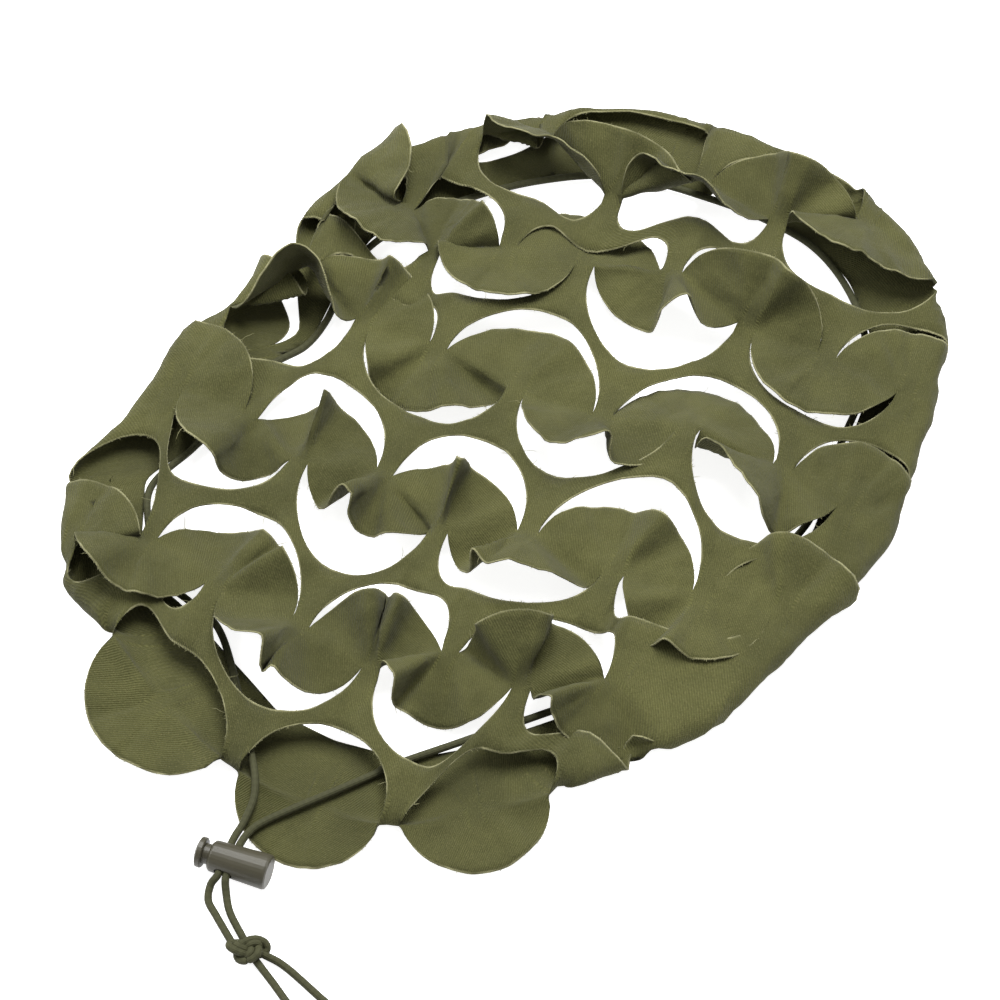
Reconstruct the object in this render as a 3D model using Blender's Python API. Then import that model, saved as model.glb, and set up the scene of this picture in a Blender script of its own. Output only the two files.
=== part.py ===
"""Leaf-cut helmet cover with an elastic drawcord and a spring cord lock.

The cover is one piece of cotton twill. Rows of half-round cuts turn it into a net of leaves. It lies
collapsed on a flat surface, and its edge is turned in all round under a fold. Metres, +Z up, rows along X.
"""
import math
from collections import namedtuple

import bpy
import numpy as np

# the net of cuts, before the cloth is pulled open
PITCH = 0.072  # from one leaf to the next along a row
ROW = 0.060  # from one row of cuts to the next
CUT_RADIUS = 0.032
HALF = PITCH / 2
JOIN = HALF - CUT_RADIUS  # half the width of cloth that is left between two cuts
FABRIC = 0.0012

# how the cover lies
MIDDLE = (-0.016, 0.016)  # the middle of the cover, from the net's own zero
FOLD_RADIUS = 0.0044
TURNED_IN = 0.042  # cloth that lies under the fold
NET_HEIGHT = 0.013  # of the upper layer, away from the fold
SLOPE = 0.070  # from the fold in to where the upper layer levels out
FREE_FROM = 0.007  # a leaf that goes on straight does so this far from its root
CUT_REACH = 0.004  # leaves whose root lies further past the fold than this are left uncut

# the net when pulled open: first foot, one leaf along, one row down, and how far feet hang below necks
FIRST = np.array((-0.0100, 0.1810))
ALONG = np.array((0.0675, 0.0023))
DOWN = np.array((-0.0024, -0.0646))
FOOT_DROP = np.array((0.0007, -0.0071))

# mesh of the cloth
CUT_STEPS = 5  # columns across half a leaf
LEAF_STEPS = 2
WEB_STEPS = 1

ORIGIN = (-0.0135, 0.0194)  # the middle of the cover, where the finished part has its origin

# drawcord
CORD = 0.0030
CORD_INSET = 0.031  # from the fold to the drawcord
GAP = 0.0003
ON_CLOTH = FABRIC + GAP + CORD / 2  # height of a cord that lies on the lower layer
ON_FLOOR = CORD / 2 + 0.0001

# the cord lock, along its own X from the plunger's head
LOCK_FROM = (-0.0445, -0.1883)  # from the net's zero
LOCK_TURN = 5.0
LOCK_RADIUS = 0.0069
LOCK_SIDES = 32
HEAD = 0.0026
PRESS_GAP = 0.0026  # how far the plunger can be pressed in
STEM_RADIUS = 0.0040
BORE_PLAY = 0.0004
STEM_END = 0.0190
BARREL_END = 0.0276
HOLE_AT = 0.0110
HOLE_WIDTH = 0.0074
HOLE_HEIGHT = 0.0042
LOCK_AT = (LOCK_FROM[0] - ORIGIN[0], LOCK_FROM[1] - ORIGIN[1], LOCK_RADIUS)

# the knot
KNOT_FROM = (-0.0110, -0.2170)  # from the net's zero
KNOT_TURN = 24.0
KNOT_SIZE = (0.0165, 0.0115, 0.0080)
KNOT_RIDGE = 0.07
KNOT_CLEARANCE = 0.0016
KNOT_AT = (KNOT_FROM[0] - ORIGIN[0], KNOT_FROM[1] - ORIGIN[1], KNOT_SIZE[2] / 2 * (1 + KNOT_RIDGE))

# bearings from the middle at which the drawcord's two ends come out from under the net
CORD_FROM, CORD_TO = -78.5, 257.0
# the two ends, in mm from the net's zero: over the front leaf, from the lock to the knot, and past it
LEFT_OVER = (
    (-53, -132, 2.9), (-49, -138, 4.2), (-41.2, -149, 6.3), (-37.1, -158.2, 5.3), (-36.3, -168, 4.1), (-36.4, -175, 4.9),
)
RIGHT_OVER = (
    (5, -122.5, 2.9), (1, -128, 2.9), (-8.7, -140, 3.2), (-20.7, -154.3, 3.4), (-30, -166, 3.5), (-32.6, -173, 4.7),
)
LEFT_BETWEEN = ((-36, -198, 4), (-34.5, -203.5, 2), (-29, -208, 1.7))
RIGHT_BETWEEN = ((-29, -199, 3.5), (-24.5, -205, 1.9))
LEFT_TAIL = ((3.5, -225, 1.6), (10.3, -229.2, 1.6), (19.5, -234.5, 1.6), (27, -239.5, 1.6))
RIGHT_TAIL = ((4.5, -216.8, 1.6), (23, -223.4, 1.6), (32, -226.4, 1.6), (41, -231, 1.6))

Joint = namedtuple("Joint", "kind leaf row dx dy rise")
# how far, in mm, the pull of the cord and the folds carry each joint from the even net
JOINTS = (
    Joint("foot", -1, 0, -14, -4, 0),
    Joint("foot", 0, 0, -13, -18, 0),
    Joint("foot", 1, 0, -13, -2, 0),
    Joint("foot", 2, 0, -3, -1, 0),
    Joint("foot", -2, 1, 12, 23, 0),
    Joint("foot", -1, 1, -1, -8, 0),
    Joint("foot", 0, 1, -8, 11, 0),
    Joint("foot", 1, 1, -2, 6, 0),
    Joint("foot", 2, 1, 2, 1, 0),
    Joint("foot", -1, 2, -10, 13, 0),
    Joint("foot", 0, 2, -6, 6, 0),
    Joint("foot", 1, 2, 0, 11, 10),
    Joint("foot", 2, 2, 2, 4, 0),
    Joint("foot", -2, 3, 3, 24, 0),
    Joint("foot", -1, 3, -2, 5, 0),
    Joint("foot", 0, 3, -4, -5, 0),
    Joint("foot", 1, 3, 0, 4, 0),
    Joint("foot", 2, 3, -1, 14, 0),
    Joint("foot", -1, 4, -5, 3, 0),
    Joint("foot", 0, 4, 1, -8, 0),
    Joint("foot", 1, 4, -10, 5, 0),
    Joint("foot", -1, 5, -4, 12, 0),
    Joint("foot", 0, 5, 5, -16, 0),
    Joint("foot", 1, 5, 1, 2, 0),
    Joint("neck", -1, 0, -21, 2, 0),
    Joint("neck", 0, 0, -17, 1, 0),
    Joint("neck", 1, 0, -14, 9, 0),
    Joint("neck", -2, 1, 14, 8, 0),
    Joint("neck", -1, 1, -7, 2, 0),
    Joint("neck", 0, 1, -7, 17, 0),
    Joint("neck", -2, 2, -10, 28, 0),
    Joint("neck", -1, 2, -10, 8, 0),
    Joint("neck", 0, 2, -2, 0, 0),
    Joint("neck", 1, 2, 7, 5, 0),
    Joint("neck", -2, 3, 5, 14, 0),
    Joint("neck", -1, 3, -1, 9, 0),
    Joint("neck", 0, 3, -5, 3, 0),
    Joint("neck", 1, 3, 2, 3, 0),
    Joint("neck", -2, 4, -5, 11, 0),
    Joint("neck", -1, 4, 1, -6, 0),
    Joint("neck", 0, 4, -8, 5, 0),
    Joint("neck", 1, 4, -12, 18, 0),
    Joint("neck", -2, 5, 0, 31, 0),
    Joint("neck", -1, 5, 4, -8, 0),
    Joint("neck", 0, 5, 4, -9, 0),
    Joint("neck", 1, 5, -9, 29, 0),
)

# corners of the folded edge seen from above, in mm
FOLD_LINE = (
    (-52, -146), (-22, -149), (13, -145), (40, -128), (66, -104), (91, -80), (107, -58), (115, -37),
    (135, 27), (141, 49), (137, 86), (134, 115), (129, 148), (117, 167), (97, 190), (72, 205),
    (41, 211), (4, 212), (-27, 209), (-55, 198), (-84, 178), (-107, 156), (-131, 127), (-136, 103),
    (-138, 57), (-154, 26), (-158, -25), (-169, -53), (-155, -83), (-142, -103), (-123, -110), (-87, -129),
)

Leaf = namedtuple("Leaf", "kind leaf row rays free cut", defaults=((), 0, True))
# leaves that don't lie as the rest do. Rays are lines from the root to the cut edge, each with its bearing
# seen from above and its rise, in degrees: anticlockwise from the right on an up leaf, from the left on a
# down leaf. A free leaf keeps on straight where the cloth round it turns under
LEAVES = (
    Leaf("up", -1, 0, ((10, 0), (45, -4), (90, -6), (135, -4))),
    Leaf("up", 0, 0, ((30, 30), (55, 34), (75, 30), (95, 36), (115, 30), (140, 20))),
    Leaf("up", 1, 0, ((30, 10), (62, 16), (80, 40), (100, 44), (118, 20), (145, 8))),
    Leaf("down", -1, 0, ((-150, 30), (-125, 42), (-95, 48), (-60, 44), (-35, 20))),
    Leaf("down", 0, 0, ((-150, 40), (-120, 50), (-90, 52), (-60, 46), (-40, 24))),
    Leaf("down", 1, 0, ((-150, 12), (-120, 24), (-85, 26), (-50, 14))),
    Leaf("up", -2, 1, ((-20, 10), (10, 22), (50, 20), (90, 10), (130, 6))),
    Leaf("up", -1, 1, ((35, 8), (60, 24), (80, 8), (110, 4))),
    Leaf("up", 0, 1, ((20, -8), (50, -14), (90, -16), (130, -8))),
    Leaf("up", 1, 1, ((20, 6), (45, 20), (62, 48), (88, 40), (112, 44), (135, 22))),
    Leaf("up", 2, 1, ((30, 0), (60, 1), (90, 2), (130, 3))),
    Leaf("down", -2, 1, ((-150, 14), (-115, 26), (-80, 22), (-50, 10))),
    Leaf("down", -1, 1, ((-155, 6), (-125, 10), (-90, 12), (-50, 10))),
    Leaf("down", 0, 1, ((-155, -4), (-132, -10), (-105, -12), (-84, -4), (-74, 22), (-58, 34), (-46, 10))),
    Leaf("down", 1, 1, ((-150, 4), (-120, 8), (-85, 6), (-45, 8))),
    Leaf("up", -2, 2, ((30, 10), (60, 14), (90, 10), (130, 4))),
    Leaf("up", -1, 2, ((26, 2), (50, 4), (76, 2), (92, 22), (104, 6), (124, 10), (142, 12))),
    Leaf("up", 0, 2, ((23, 2), (47, 0), (76, 3), (105, -3), (136, -4))),
    Leaf("up", 1, 2, ((40, -24), (77, -30), (110, -30), (150, -26))),
    Leaf("up", 2, 2, ((30, 0), (60, 2), (90, 3), (130, 3))),
    Leaf("down", -1, 2, ((-133, 3), (-126, -12), (-112, -16), (-95, -14), (-77, -2), (-60, 4), (-41, -3), (-14, -12))),
    Leaf("down", 0, 2, ((-144, 17), (-120, 21), (-91, 36), (-61, 43), (-59, 20), (-29, 11))),
    Leaf("down", 1, 2, ((-168, 5), (-166, 23), (-141, 42), (-122, 39), (-92, 28), (-81, 10), (-72, -1), (-55, 7))),
    Leaf("up", -2, 3, ((30, 10), (60, 10), (90, 5), (130, 2))),
    Leaf("up", -1, 3, ((29, 0), (64, -6), (80, 0), (92, 26), (100, -4), (118, -14), (135, -12))),
    Leaf("up", 0, 3, ((40, 6), (70, 3), (90, 8), (93, 38), (104, 6), (118, -4), (132, -2))),
    Leaf("up", 1, 3, ((22, 2), (37, 0), (54, 0), (72, 14), (90, 2), (105, -4), (127, -3), (152, 3))),
    Leaf("up", 2, 3, ((25, 4), (50, 8), (75, 8), (100, 16), (118, 20), (128, 6))),
    Leaf("down", -2, 3, ((-150, 10), (-120, 22), (-93, 22), (-87, 0), (-78, -10), (-61, -12), (-46, -9), (-35, 0))),
    Leaf("down", -1, 3, ((-143, -5), (-131, -10), (-117, 2), (-113, 21), (-105, 37), (-95, 34), (-92, 18), (-85, 6),
                         (-76, 0), (-68, 6), (-50, 0), (-33, -8))),
    Leaf("down", 0, 3, ((-132, -9), (-113, 8), (-117, 28), (-104, 25), (-80, 37), (-67, 32), (-48, 23), (-17, -5))),
    Leaf("down", 1, 3, ((-140, 9), (-125, -2), (-114, -2), (-93, 15), (-75, 5), (-45, 3))),
    Leaf("up", -2, 4, ((30, 10), (60, 8), (90, 3), (130, 1))),
    Leaf("up", -1, 4, ((19, -3), (34, 8), (48, 16), (60, 2), (74, 8), (89, -8), (105, -14), (124, -12), (140, -4))),
    Leaf("up", 0, 4, ((62, 0), (80, 4), (91, 28), (103, 4), (114, 30), (135, 8), (152, -2))),
    Leaf("up", 1, 4, ((41, 8), (58, 6), (73, 2), (90, 0), (88, 34), (108, 38), (130, 38), (150, 34), (152, 4), (160, -8))),
    Leaf("down", -2, 4, ((-150, 10), (-115, 24), (-90, 16), (-60, 6), (-35, 2))),
    Leaf("down", -1, 4, ((-161, 8), (-151, 17), (-131, 31), (-105, 44), (-93, 20), (-87, 26), (-75, 16), (-61, 4),
                         (-47, -4), (-31, -5))),
    Leaf("down", 0, 4, ((-135, 14), (-118, 22), (-108, -8), (-98, -4), (-88, -12), (-70, -16), (-49, -7), (-31, 0))),
    Leaf("down", 1, 4, ((-143, -2), (-133, 19), (-124, 26), (-118, 14), (-105, 1), (-86, -4), (-73, -11), (-51, -16))),
    Leaf("up", -1, 5, free=1),
    Leaf("up", 0, 5, free=1),
    Leaf("up", 1, 5, free=1),
    Leaf("down", -2, 5, cut=False),
    Leaf("down", -1, 5, cut=False),
    Leaf("down", 0, 5, cut=False),
    Leaf("down", 1, 5, cut=False),
)
SHIFTS = {(j.kind, j.leaf, j.row): (j.dx / 1000, j.dy / 1000, j.rise / 1000) for j in JOINTS}
SHAPES = {(leaf.kind, leaf.leaf, leaf.row): leaf for leaf in LEAVES}


def clear_scene():
    for obj in list(bpy.data.objects):
        bpy.data.objects.remove(obj, do_unlink=True)


def material(name, colour, roughness, metallic=0.0):
    made = bpy.data.materials.new(name)
    made.use_nodes = True
    shader = made.node_tree.nodes["Principled BSDF"]
    shader.inputs["Base Color"].default_value = (*colour, 1)
    shader.inputs["Roughness"].default_value = roughness
    shader.inputs["Metallic"].default_value = metallic
    return made


# ---------------------------------------------------------------- the net, seen from above


def ease(t):
    return t * t * (3 - 2 * t)


def joint(kind, leaf, row):
    """Where a foot or a neck of the net lies: x, y and its height over the layer it is in."""
    is_foot = kind == "foot"
    even = FIRST + ALONG * (leaf + (0 if is_foot else 0.5)) + DOWN * row + (FOOT_DROP if is_foot else 0)
    return np.array((*even, 0)) + np.array(SHIFTS.get((kind, leaf, row), (0, 0, 0)))


def fold_distances(samples=1440, softened=14):
    """The distance of the fold line from the middle, by bearing, with its corners softened."""
    bearings = np.arange(samples) * 2 * math.pi / samples
    corners = np.array(FOLD_LINE) / 1000 - MIDDLE
    reach = np.full(samples, np.inf)
    for start, end in zip(corners, np.roll(corners, -1, axis=0)):
        side = end - start
        across = np.cos(bearings) * side[1] - np.sin(bearings) * side[0]
        away = (start[0] * side[1] - start[1] * side[0]) / across
        along = (start[0] * np.sin(bearings) - start[1] * np.cos(bearings)) / across
        met = (along >= -1e-6) & (along <= 1 + 1e-6) & (away > 0)
        reach = np.where(met, np.minimum(reach, away), reach)
    weights = np.exp(-((np.arange(-softened, softened + 1) / (softened * 0.43)) ** 2))
    ringed = np.concatenate([reach[-softened:], reach, reach[: softened + 1]])
    return np.append(bearings, 2 * math.pi), np.convolve(ringed, weights / weights.sum(), "valid")


FOLD_BEARINGS, FOLD_REACH = fold_distances()


def fold_reach(bearing):
    return np.interp(bearing % (2 * math.pi), FOLD_BEARINGS, FOLD_REACH)


def bearing_and_distance(x, y):
    return math.atan2(y - MIDDLE[1], x - MIDDLE[0]), math.hypot(x - MIDDLE[0], y - MIDDLE[1])


def past_fold(point):
    bearing, distance = bearing_and_distance(point[0], point[1])
    return distance - fold_reach(bearing)


def layer_height(inside):
    """Height of the upper layer, by its distance in from the fold."""
    at_fold = 2 * FOLD_RADIUS + FABRIC / 2
    return NET_HEIGHT + (at_fold - NET_HEIGHT) * (1 - ease(min(max(inside / SLOPE, 0), 1)))


def fold_under(point):
    """Lays a point of the open net on the surface: cloth past the fold line rolls round the fold and under."""
    bearing, distance = bearing_and_distance(point[0], point[1])
    reach = fold_reach(bearing)
    past, over = distance - reach, point[2]
    if past <= 0:
        return np.array((point[0], point[1], layer_height(-past) + over))
    past = min(past, TURNED_IN)
    turn = min(past / FOLD_RADIUS, math.pi)
    back = past - FOLD_RADIUS * turn
    out = reach + (FOLD_RADIUS + over) * math.sin(turn) - back
    height = layer_height(0) - FOLD_RADIUS + (FOLD_RADIUS + over) * math.cos(turn)
    return np.array((MIDDLE[0] + out * math.cos(bearing), MIDDLE[1] + out * math.sin(bearing), height))


# ---------------------------------------------------------------- one leaf


def smooth_between(marks, values, places):
    """A smooth curve (Catmull-Rom, in Hermite form) through values at marks, read at places."""
    slopes = np.gradient(values, marks, axis=0)
    n = np.clip(np.searchsorted(marks, places) - 1, 0, len(marks) - 2)
    width = (marks[n + 1] - marks[n])[:, None]
    t = (places - marks[n])[:, None] / width
    rise = values[n + 1] - values[n]
    bend = (1 - t) * (slopes[n] * width - rise) + t * (rise - slopes[n + 1] * width)
    return values[n] + t * rise + t * (1 - t) * bend


class HangingLeaf:
    """A half-round leaf that fans out from its root, a foot or a neck, between the two joints beside it.

    Every line from the root stays straight. Where the table gives no rays and the pull on the net leaves
    the fan less than a half turn, the spare cloth stands up in one round pleat.
    """

    SAMPLES = 181

    def __init__(self, shape, root, right, left, facing=1):
        """Facing is -1 where the cloth lies face down, so that the leaf fans out the other way round."""
        self.shape, self.root = shape, root
        self.sign = 1 if shape.kind == "up" else -1
        to_right, to_left = right - root, left - root
        self.stretch = np.linalg.norm(to_right) / HALF, np.linalg.norm(to_left) / HALF
        self.angles = np.linspace(0, math.pi, self.SAMPLES)
        if shape.rays:
            self.directions = self.through_rays(to_right, to_left, shape.rays)
        else:
            self.directions = self.with_pleat(to_right, to_left, facing)

    def through_rays(self, to_right, to_left, rays):
        """A smooth fan of directions through the two joints and the rays between them."""
        bearings, rises = np.radians(np.array(rays, float)).T
        level = np.cos(rises)
        lines = np.stack([level * np.cos(bearings), level * np.sin(bearings), np.sin(rises)], axis=1)
        lines = np.concatenate([[to_right], lines, [to_left]])
        lines /= np.linalg.norm(lines, axis=1)[:, None]
        turns = np.arccos(np.clip((lines[1:] * lines[:-1]).sum(axis=1), -1, 1))
        marks = np.concatenate([[0], np.cumsum(turns)]) * math.pi / turns.sum()
        found = smooth_between(marks, lines, self.angles)
        return found / np.linalg.norm(found, axis=1)[:, None]

    def with_pleat(self, to_right, to_left, facing):
        start = math.atan2(to_right[1], to_right[0])
        room = (math.atan2(to_left[1], to_left[0]) - start) * facing % (2 * math.pi)
        outline = np.sin(self.angles) ** 2
        low, high = 0.0, 1.2
        for _ in range(0 if self.shape.free else 24):
            middle = (low + high) / 2
            low, high = (middle, high) if self.fan(middle * outline)[-1] > room else (low, middle)
        lift = low * outline
        turned = self.fan(lift)
        turned = start + facing * turned * room / turned[-1]
        climb = to_right[2] / HALF * (1 - self.angles / math.pi) ** 6 + to_left[2] / HALF * (self.angles / math.pi) ** 6
        level = np.cos(lift)
        return np.stack([level * np.cos(turned), level * np.sin(turned), np.sin(lift) + climb], axis=1)

    def fan(self, lift):
        """The turn seen from above at each angle of the flat leaf, when its lines rise by lift."""
        rate = np.sqrt(np.maximum(1 - np.gradient(lift, self.angles) ** 2, 0.02)) / np.cos(lift)
        return np.concatenate([[0], np.cumsum((rate[1:] + rate[:-1]) / 2) * (self.angles[1] - self.angles[0])])

    def place(self, along, up):
        """Where a point of the flat leaf lies, in the space of its joints."""
        along, up = along * self.sign, max(up * self.sign, 0)
        angle = math.atan2(up, along)
        near = abs(math.cos(angle)) ** 3
        length = math.hypot(along, up) * (1 + (self.stretch[0 if along > 0 else 1] - 1) * near)
        direction = [np.interp(angle, self.angles, self.directions[:, axis]) for axis in range(3)]
        return self.root + length * np.array(direction)


# ---------------------------------------------------------------- the whole cloth


class CutCloth:
    """The middle surface of the cloth. A point of it is named by row, column and step.

    Columns run from a foot (0) to the neck beside it (half_columns), closer together near both, because
    the cuts stand upright there.
    """

    ROWS = range(-1, 7)
    LEAVES = range(-4, 4)

    def __init__(self, cut_steps, leaf_steps, web_steps):
        spread = (HALF - 2 * JOIN) / 2
        inner = [JOIN + spread * (1 - math.cos(math.pi * t / cut_steps)) for t in range(cut_steps + 1)]
        self.offsets = [0, *inner, HALF]
        self.half_columns = len(self.offsets) - 1
        self.leaf_steps, self.web_steps = leaf_steps, web_steps
        self.points, self.flat, self.past, self.index, self.leaves = [], [], [], {}, {}
        self.faces = []
        for row in self.ROWS:
            first, last = (2 * self.half_columns * i for i in (self.LEAVES[0], self.LEAVES[-1] + 1))
            for column in range(first, last):
                self.add_column(row, column)

    def side(self, column):
        """The leaf that a column belongs to and its distance from that leaf's foot."""
        leaf, offset = divmod(column, 2 * self.half_columns)
        if offset <= self.half_columns:
            return leaf, leaf, self.offsets[offset]
        return leaf, leaf + 1, self.offsets[2 * self.half_columns - offset]

    def along(self, column):
        leaf, foot, offset = self.side(column)
        return foot * PITCH + (offset if foot == leaf else -offset)

    def cut_height(self, kind, column):
        """How far a cut stands from its row's midline at this column."""
        offset = self.side(column)[2] if kind == "up" else HALF - self.side(column)[2]
        return math.sqrt(CUT_RADIUS**2 - offset**2) if offset < CUT_RADIUS - 1e-9 else 0

    def is_cut(self, kind, leaf, row):
        if (kind, leaf, row) in SHAPES:
            return SHAPES[kind, leaf, row].cut
        return past_fold(joint("foot" if kind == "up" else "neck", leaf, row)) < CUT_REACH

    def midline(self, row, column):
        leaf, foot, offset = self.side(column)
        start, end = joint("foot", foot, row), joint("neck", leaf, row)
        return start + (end - start) * offset / HALF

    def web_place(self, row, column, v):
        """The web below a row hangs from its feet and holds the necks of the next row."""
        leaf, foot, offset = self.side(column)
        top, bottom = joint("foot", foot, row), joint("neck", leaf, row + 1)
        from_top = top + np.array((self.along(column) - foot * PITCH, v + row * ROW, 0))
        from_bottom = bottom + np.array((self.along(column) - (leaf + 0.5) * PITCH, v + (row + 1) * ROW, 0))
        return from_top + (from_bottom - from_top) * ease(offset / HALF)

    def add(self, name, column, v, point, laid=None):
        if name not in self.index:
            laid = fold_under(point) if laid is None else laid
            self.index[name] = len(self.points)
            self.points.append((laid[0], laid[1], max(laid[2], FABRIC / 2)))
            self.flat.append((self.along(column), v))
            self.past.append(past_fold(point))
        return self.index[name]

    def middle_point(self, row, column):
        return self.add(("middle", row, column), column, -row * ROW, self.midline(row, column))

    def leaf_point(self, kind, row, column, step):
        """A point of a leaf: step 0 is on the midline, the last step is on the cut."""
        height = self.cut_height(kind, column)
        if step == 0 or height == 0:
            return self.middle_point(row, column)
        name = (kind, row, column, step)
        if name in self.index:
            return self.index[name]
        leaf, foot, _ = self.side(column)
        leaf = foot if kind == "up" else leaf
        sign, web_row = (1, row - 1) if kind == "up" else (-1, row)
        up = sign * height * step / self.leaf_steps
        v = -row * ROW + up
        if not self.is_cut(kind, leaf, row):
            start, end = self.midline(row, column), self.web_place(web_row, column, -row * ROW + sign * height)
            return self.add(name, column, v, start + (end - start) * step / self.leaf_steps)
        in_net, as_laid = self.hanging_leaf(kind, leaf, row)
        along = self.along(column) - (leaf if kind == "up" else leaf + 0.5) * PITCH
        place = in_net.place(along, up)
        laid = fold_under(place)
        straight = in_net.shape.free * ease(min(abs(up) / FREE_FROM, 1))
        laid = laid + (as_laid.place(along, up) - laid) * straight
        return self.add(name, column, v, place, laid)

    def hanging_leaf(self, kind, leaf, row):
        """The leaf between its joints in the open net, and between the same joints once they are laid down."""
        if (kind, leaf, row) not in self.leaves:
            shape = SHAPES.get((kind, leaf, row), Leaf(kind, leaf, row))
            if kind == "up":
                joints = joint("foot", leaf, row), joint("neck", leaf, row), joint("neck", leaf - 1, row)
            else:
                joints = joint("neck", leaf, row), joint("foot", leaf, row), joint("foot", leaf + 1, row)
            facing = 1 if past_fold(joints[0]) < FOLD_RADIUS * math.pi / 2 else -1
            laid = [fold_under(place) for place in joints]
            self.leaves[kind, leaf, row] = HangingLeaf(shape, *joints), HangingLeaf(shape, *laid, facing)
        return self.leaves[kind, leaf, row]

    def web_point(self, row, column, step):
        """A point of the web below a row: step 0 is its upper edge, the last step its lower edge."""
        leaf, foot, _ = self.side(column)
        upper, lower = self.cut_height("down", column), self.cut_height("up", column)
        if step == 0 and (upper == 0 or not self.is_cut("down", leaf, row)):
            return self.leaf_point("down", row, column, self.leaf_steps)
        if step == self.web_steps and (lower == 0 or not self.is_cut("up", foot, row + 1)):
            return self.leaf_point("up", row + 1, column, self.leaf_steps)
        top, bottom = -row * ROW - upper, -(row + 1) * ROW + lower
        v = top + (bottom - top) * step / self.web_steps
        return self.add(("web", row, column, step), column, v, self.web_place(row, column, v))

    def add_face(self, *corners):
        ring = [corner for n, corner in enumerate(corners) if corner != corners[n - 1]]
        if len(set(ring)) > 2 and min(self.past[corner] for corner in ring) < TURNED_IN:
            self.faces.append(ring)

    def add_column(self, row, column):
        for step in range(self.leaf_steps):
            if self.cut_height("up", column) or self.cut_height("up", column + 1):
                low = [self.leaf_point("up", row, column + n, step) for n in (0, 1)]
                high = [self.leaf_point("up", row, column + n, step + 1) for n in (0, 1)]
                self.add_face(low[0], low[1], high[1], high[0])
            if self.cut_height("down", column) or self.cut_height("down", column + 1):
                high = [self.leaf_point("down", row, column + n, step) for n in (0, 1)]
                low = [self.leaf_point("down", row, column + n, step + 1) for n in (0, 1)]
                self.add_face(low[0], low[1], high[1], high[0])
        for step in range(self.web_steps):
            high = [self.web_point(row, column + n, step) for n in (0, 1)]
            low = [self.web_point(row, column + n, step + 1) for n in (0, 1)]
            self.add_face(low[0], low[1], high[1], high[0])


def facing_of(points, thirds):
    """The normal of each triangle, as long as twice its area."""
    a, b, c = (points[[third[n] for third in thirds]] for n in range(3))
    return np.cross(b - a, c - a)


def halved(points, faces):
    """Triangles of the faces, each four-sided one cut along the diagonal that bends it less."""
    flat = [face for face in faces if len(face) == 3]
    four = [face for face in faces if len(face) == 4]
    cuts = [[[(f[n], f[n + 1], f[n + 2]), (f[n], f[n + 2], f[n - 1])] for f in four] for n in (0, 1)]
    bends = []
    for cut in cuts:
        sides = [facing_of(points, [pair[n] for pair in cut]) for n in (0, 1)]
        sides = [side / (np.linalg.norm(side, axis=1)[:, None] + 1e-15) for side in sides]
        bends.append((sides[0] * sides[1]).sum(axis=1))
    for first, second, less in zip(*cuts, bends[0] >= bends[1]):
        flat += first if less else second
    return flat


def thick_sheet(points, faces, thickness):
    """A closed sheet of even thickness round a middle surface: vertices and faces."""
    used = sorted({corner for face in faces for corner in face})
    renumber = {old: new for new, old in enumerate(used)}
    points = np.array([points[old] for old in used])
    faces = [tuple(renumber[corner] for corner in face) for face in faces]
    thirds = halved(points, faces)
    normals = np.zeros_like(points)
    facing = facing_of(points, thirds)
    for corner in range(3):
        np.add.at(normals, [third[corner] for third in thirds], facing)
    normals /= np.linalg.norm(normals, axis=1)[:, None] + 1e-15
    count = len(points)
    solid = np.concatenate([points + normals * thickness / 2, points - normals * thickness / 2])
    shell = thirds + [tuple(corner + count for corner in third[::-1]) for third in thirds]
    edges = {(face[n - 1], face[n]) for face in faces for n in range(len(face))}
    rim = [(b, a, a + count, b + count) for a, b in edges if (b, a) not in edges]
    return solid, shell + rim


def add_object(name, vertices, faces, finish):
    mesh = bpy.data.meshes.new(name)
    mesh.from_pydata([tuple(v) for v in vertices], [], [tuple(f) for f in faces])
    mesh.materials.append(finish)
    mesh.validate()
    obj = bpy.data.objects.new(name, mesh)
    bpy.context.scene.collection.objects.link(obj)
    return obj


def smooth_route(points, spacing):
    """Points every spacing or so along a smooth curve through the route's own points (Catmull-Rom)."""
    points = np.array(points, float)
    padded = np.concatenate([[2 * points[0] - points[1]], points, [2 * points[-1] - points[-2]]])
    found = []
    for a, b, c, d in zip(padded, padded[1:], padded[2:], padded[3:]):
        count = max(1, round(np.linalg.norm(c - b) / spacing))
        for t in np.arange(count) / count:
            found.append(
                0.5 * (2 * b + (c - a) * t + (2 * a - 5 * b + 4 * c - d) * t**2 + (3 * b - a - 3 * c + d) * t**3)
            )
    return np.array([*found, points[-1]])


def millimetres(*route):
    """A route written in mm from the net's zero, in metres from the part's origin."""
    return np.array(route) / 1000 - (*ORIGIN, 0)


def add_cord(name, route, spacing=0.006):
    curve = bpy.data.curves.new(name, "CURVE")
    curve.dimensions = "3D"
    curve.bevel_depth = CORD / 2
    curve.bevel_resolution = 2
    curve.use_fill_caps = True
    points = smooth_route(route, spacing)
    spline = curve.splines.new("POLY")
    spline.points.add(len(points) - 1)
    for point, place in zip(spline.points, points):
        point.co = (*place, 1)
    curve.materials.append(MATERIALS["cord"])
    obj = bpy.data.objects.new(name, curve)
    bpy.context.scene.collection.objects.link(obj)
    return obj


# ---------------------------------------------------------------- the pieces


def add_cover():
    cloth = CutCloth(CUT_STEPS, LEAF_STEPS, WEB_STEPS)
    vertices, faces = thick_sheet(cloth.points, cloth.faces, FABRIC)
    add_object("cover", vertices - (*ORIGIN, 0), faces, MATERIALS["twill"])


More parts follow.
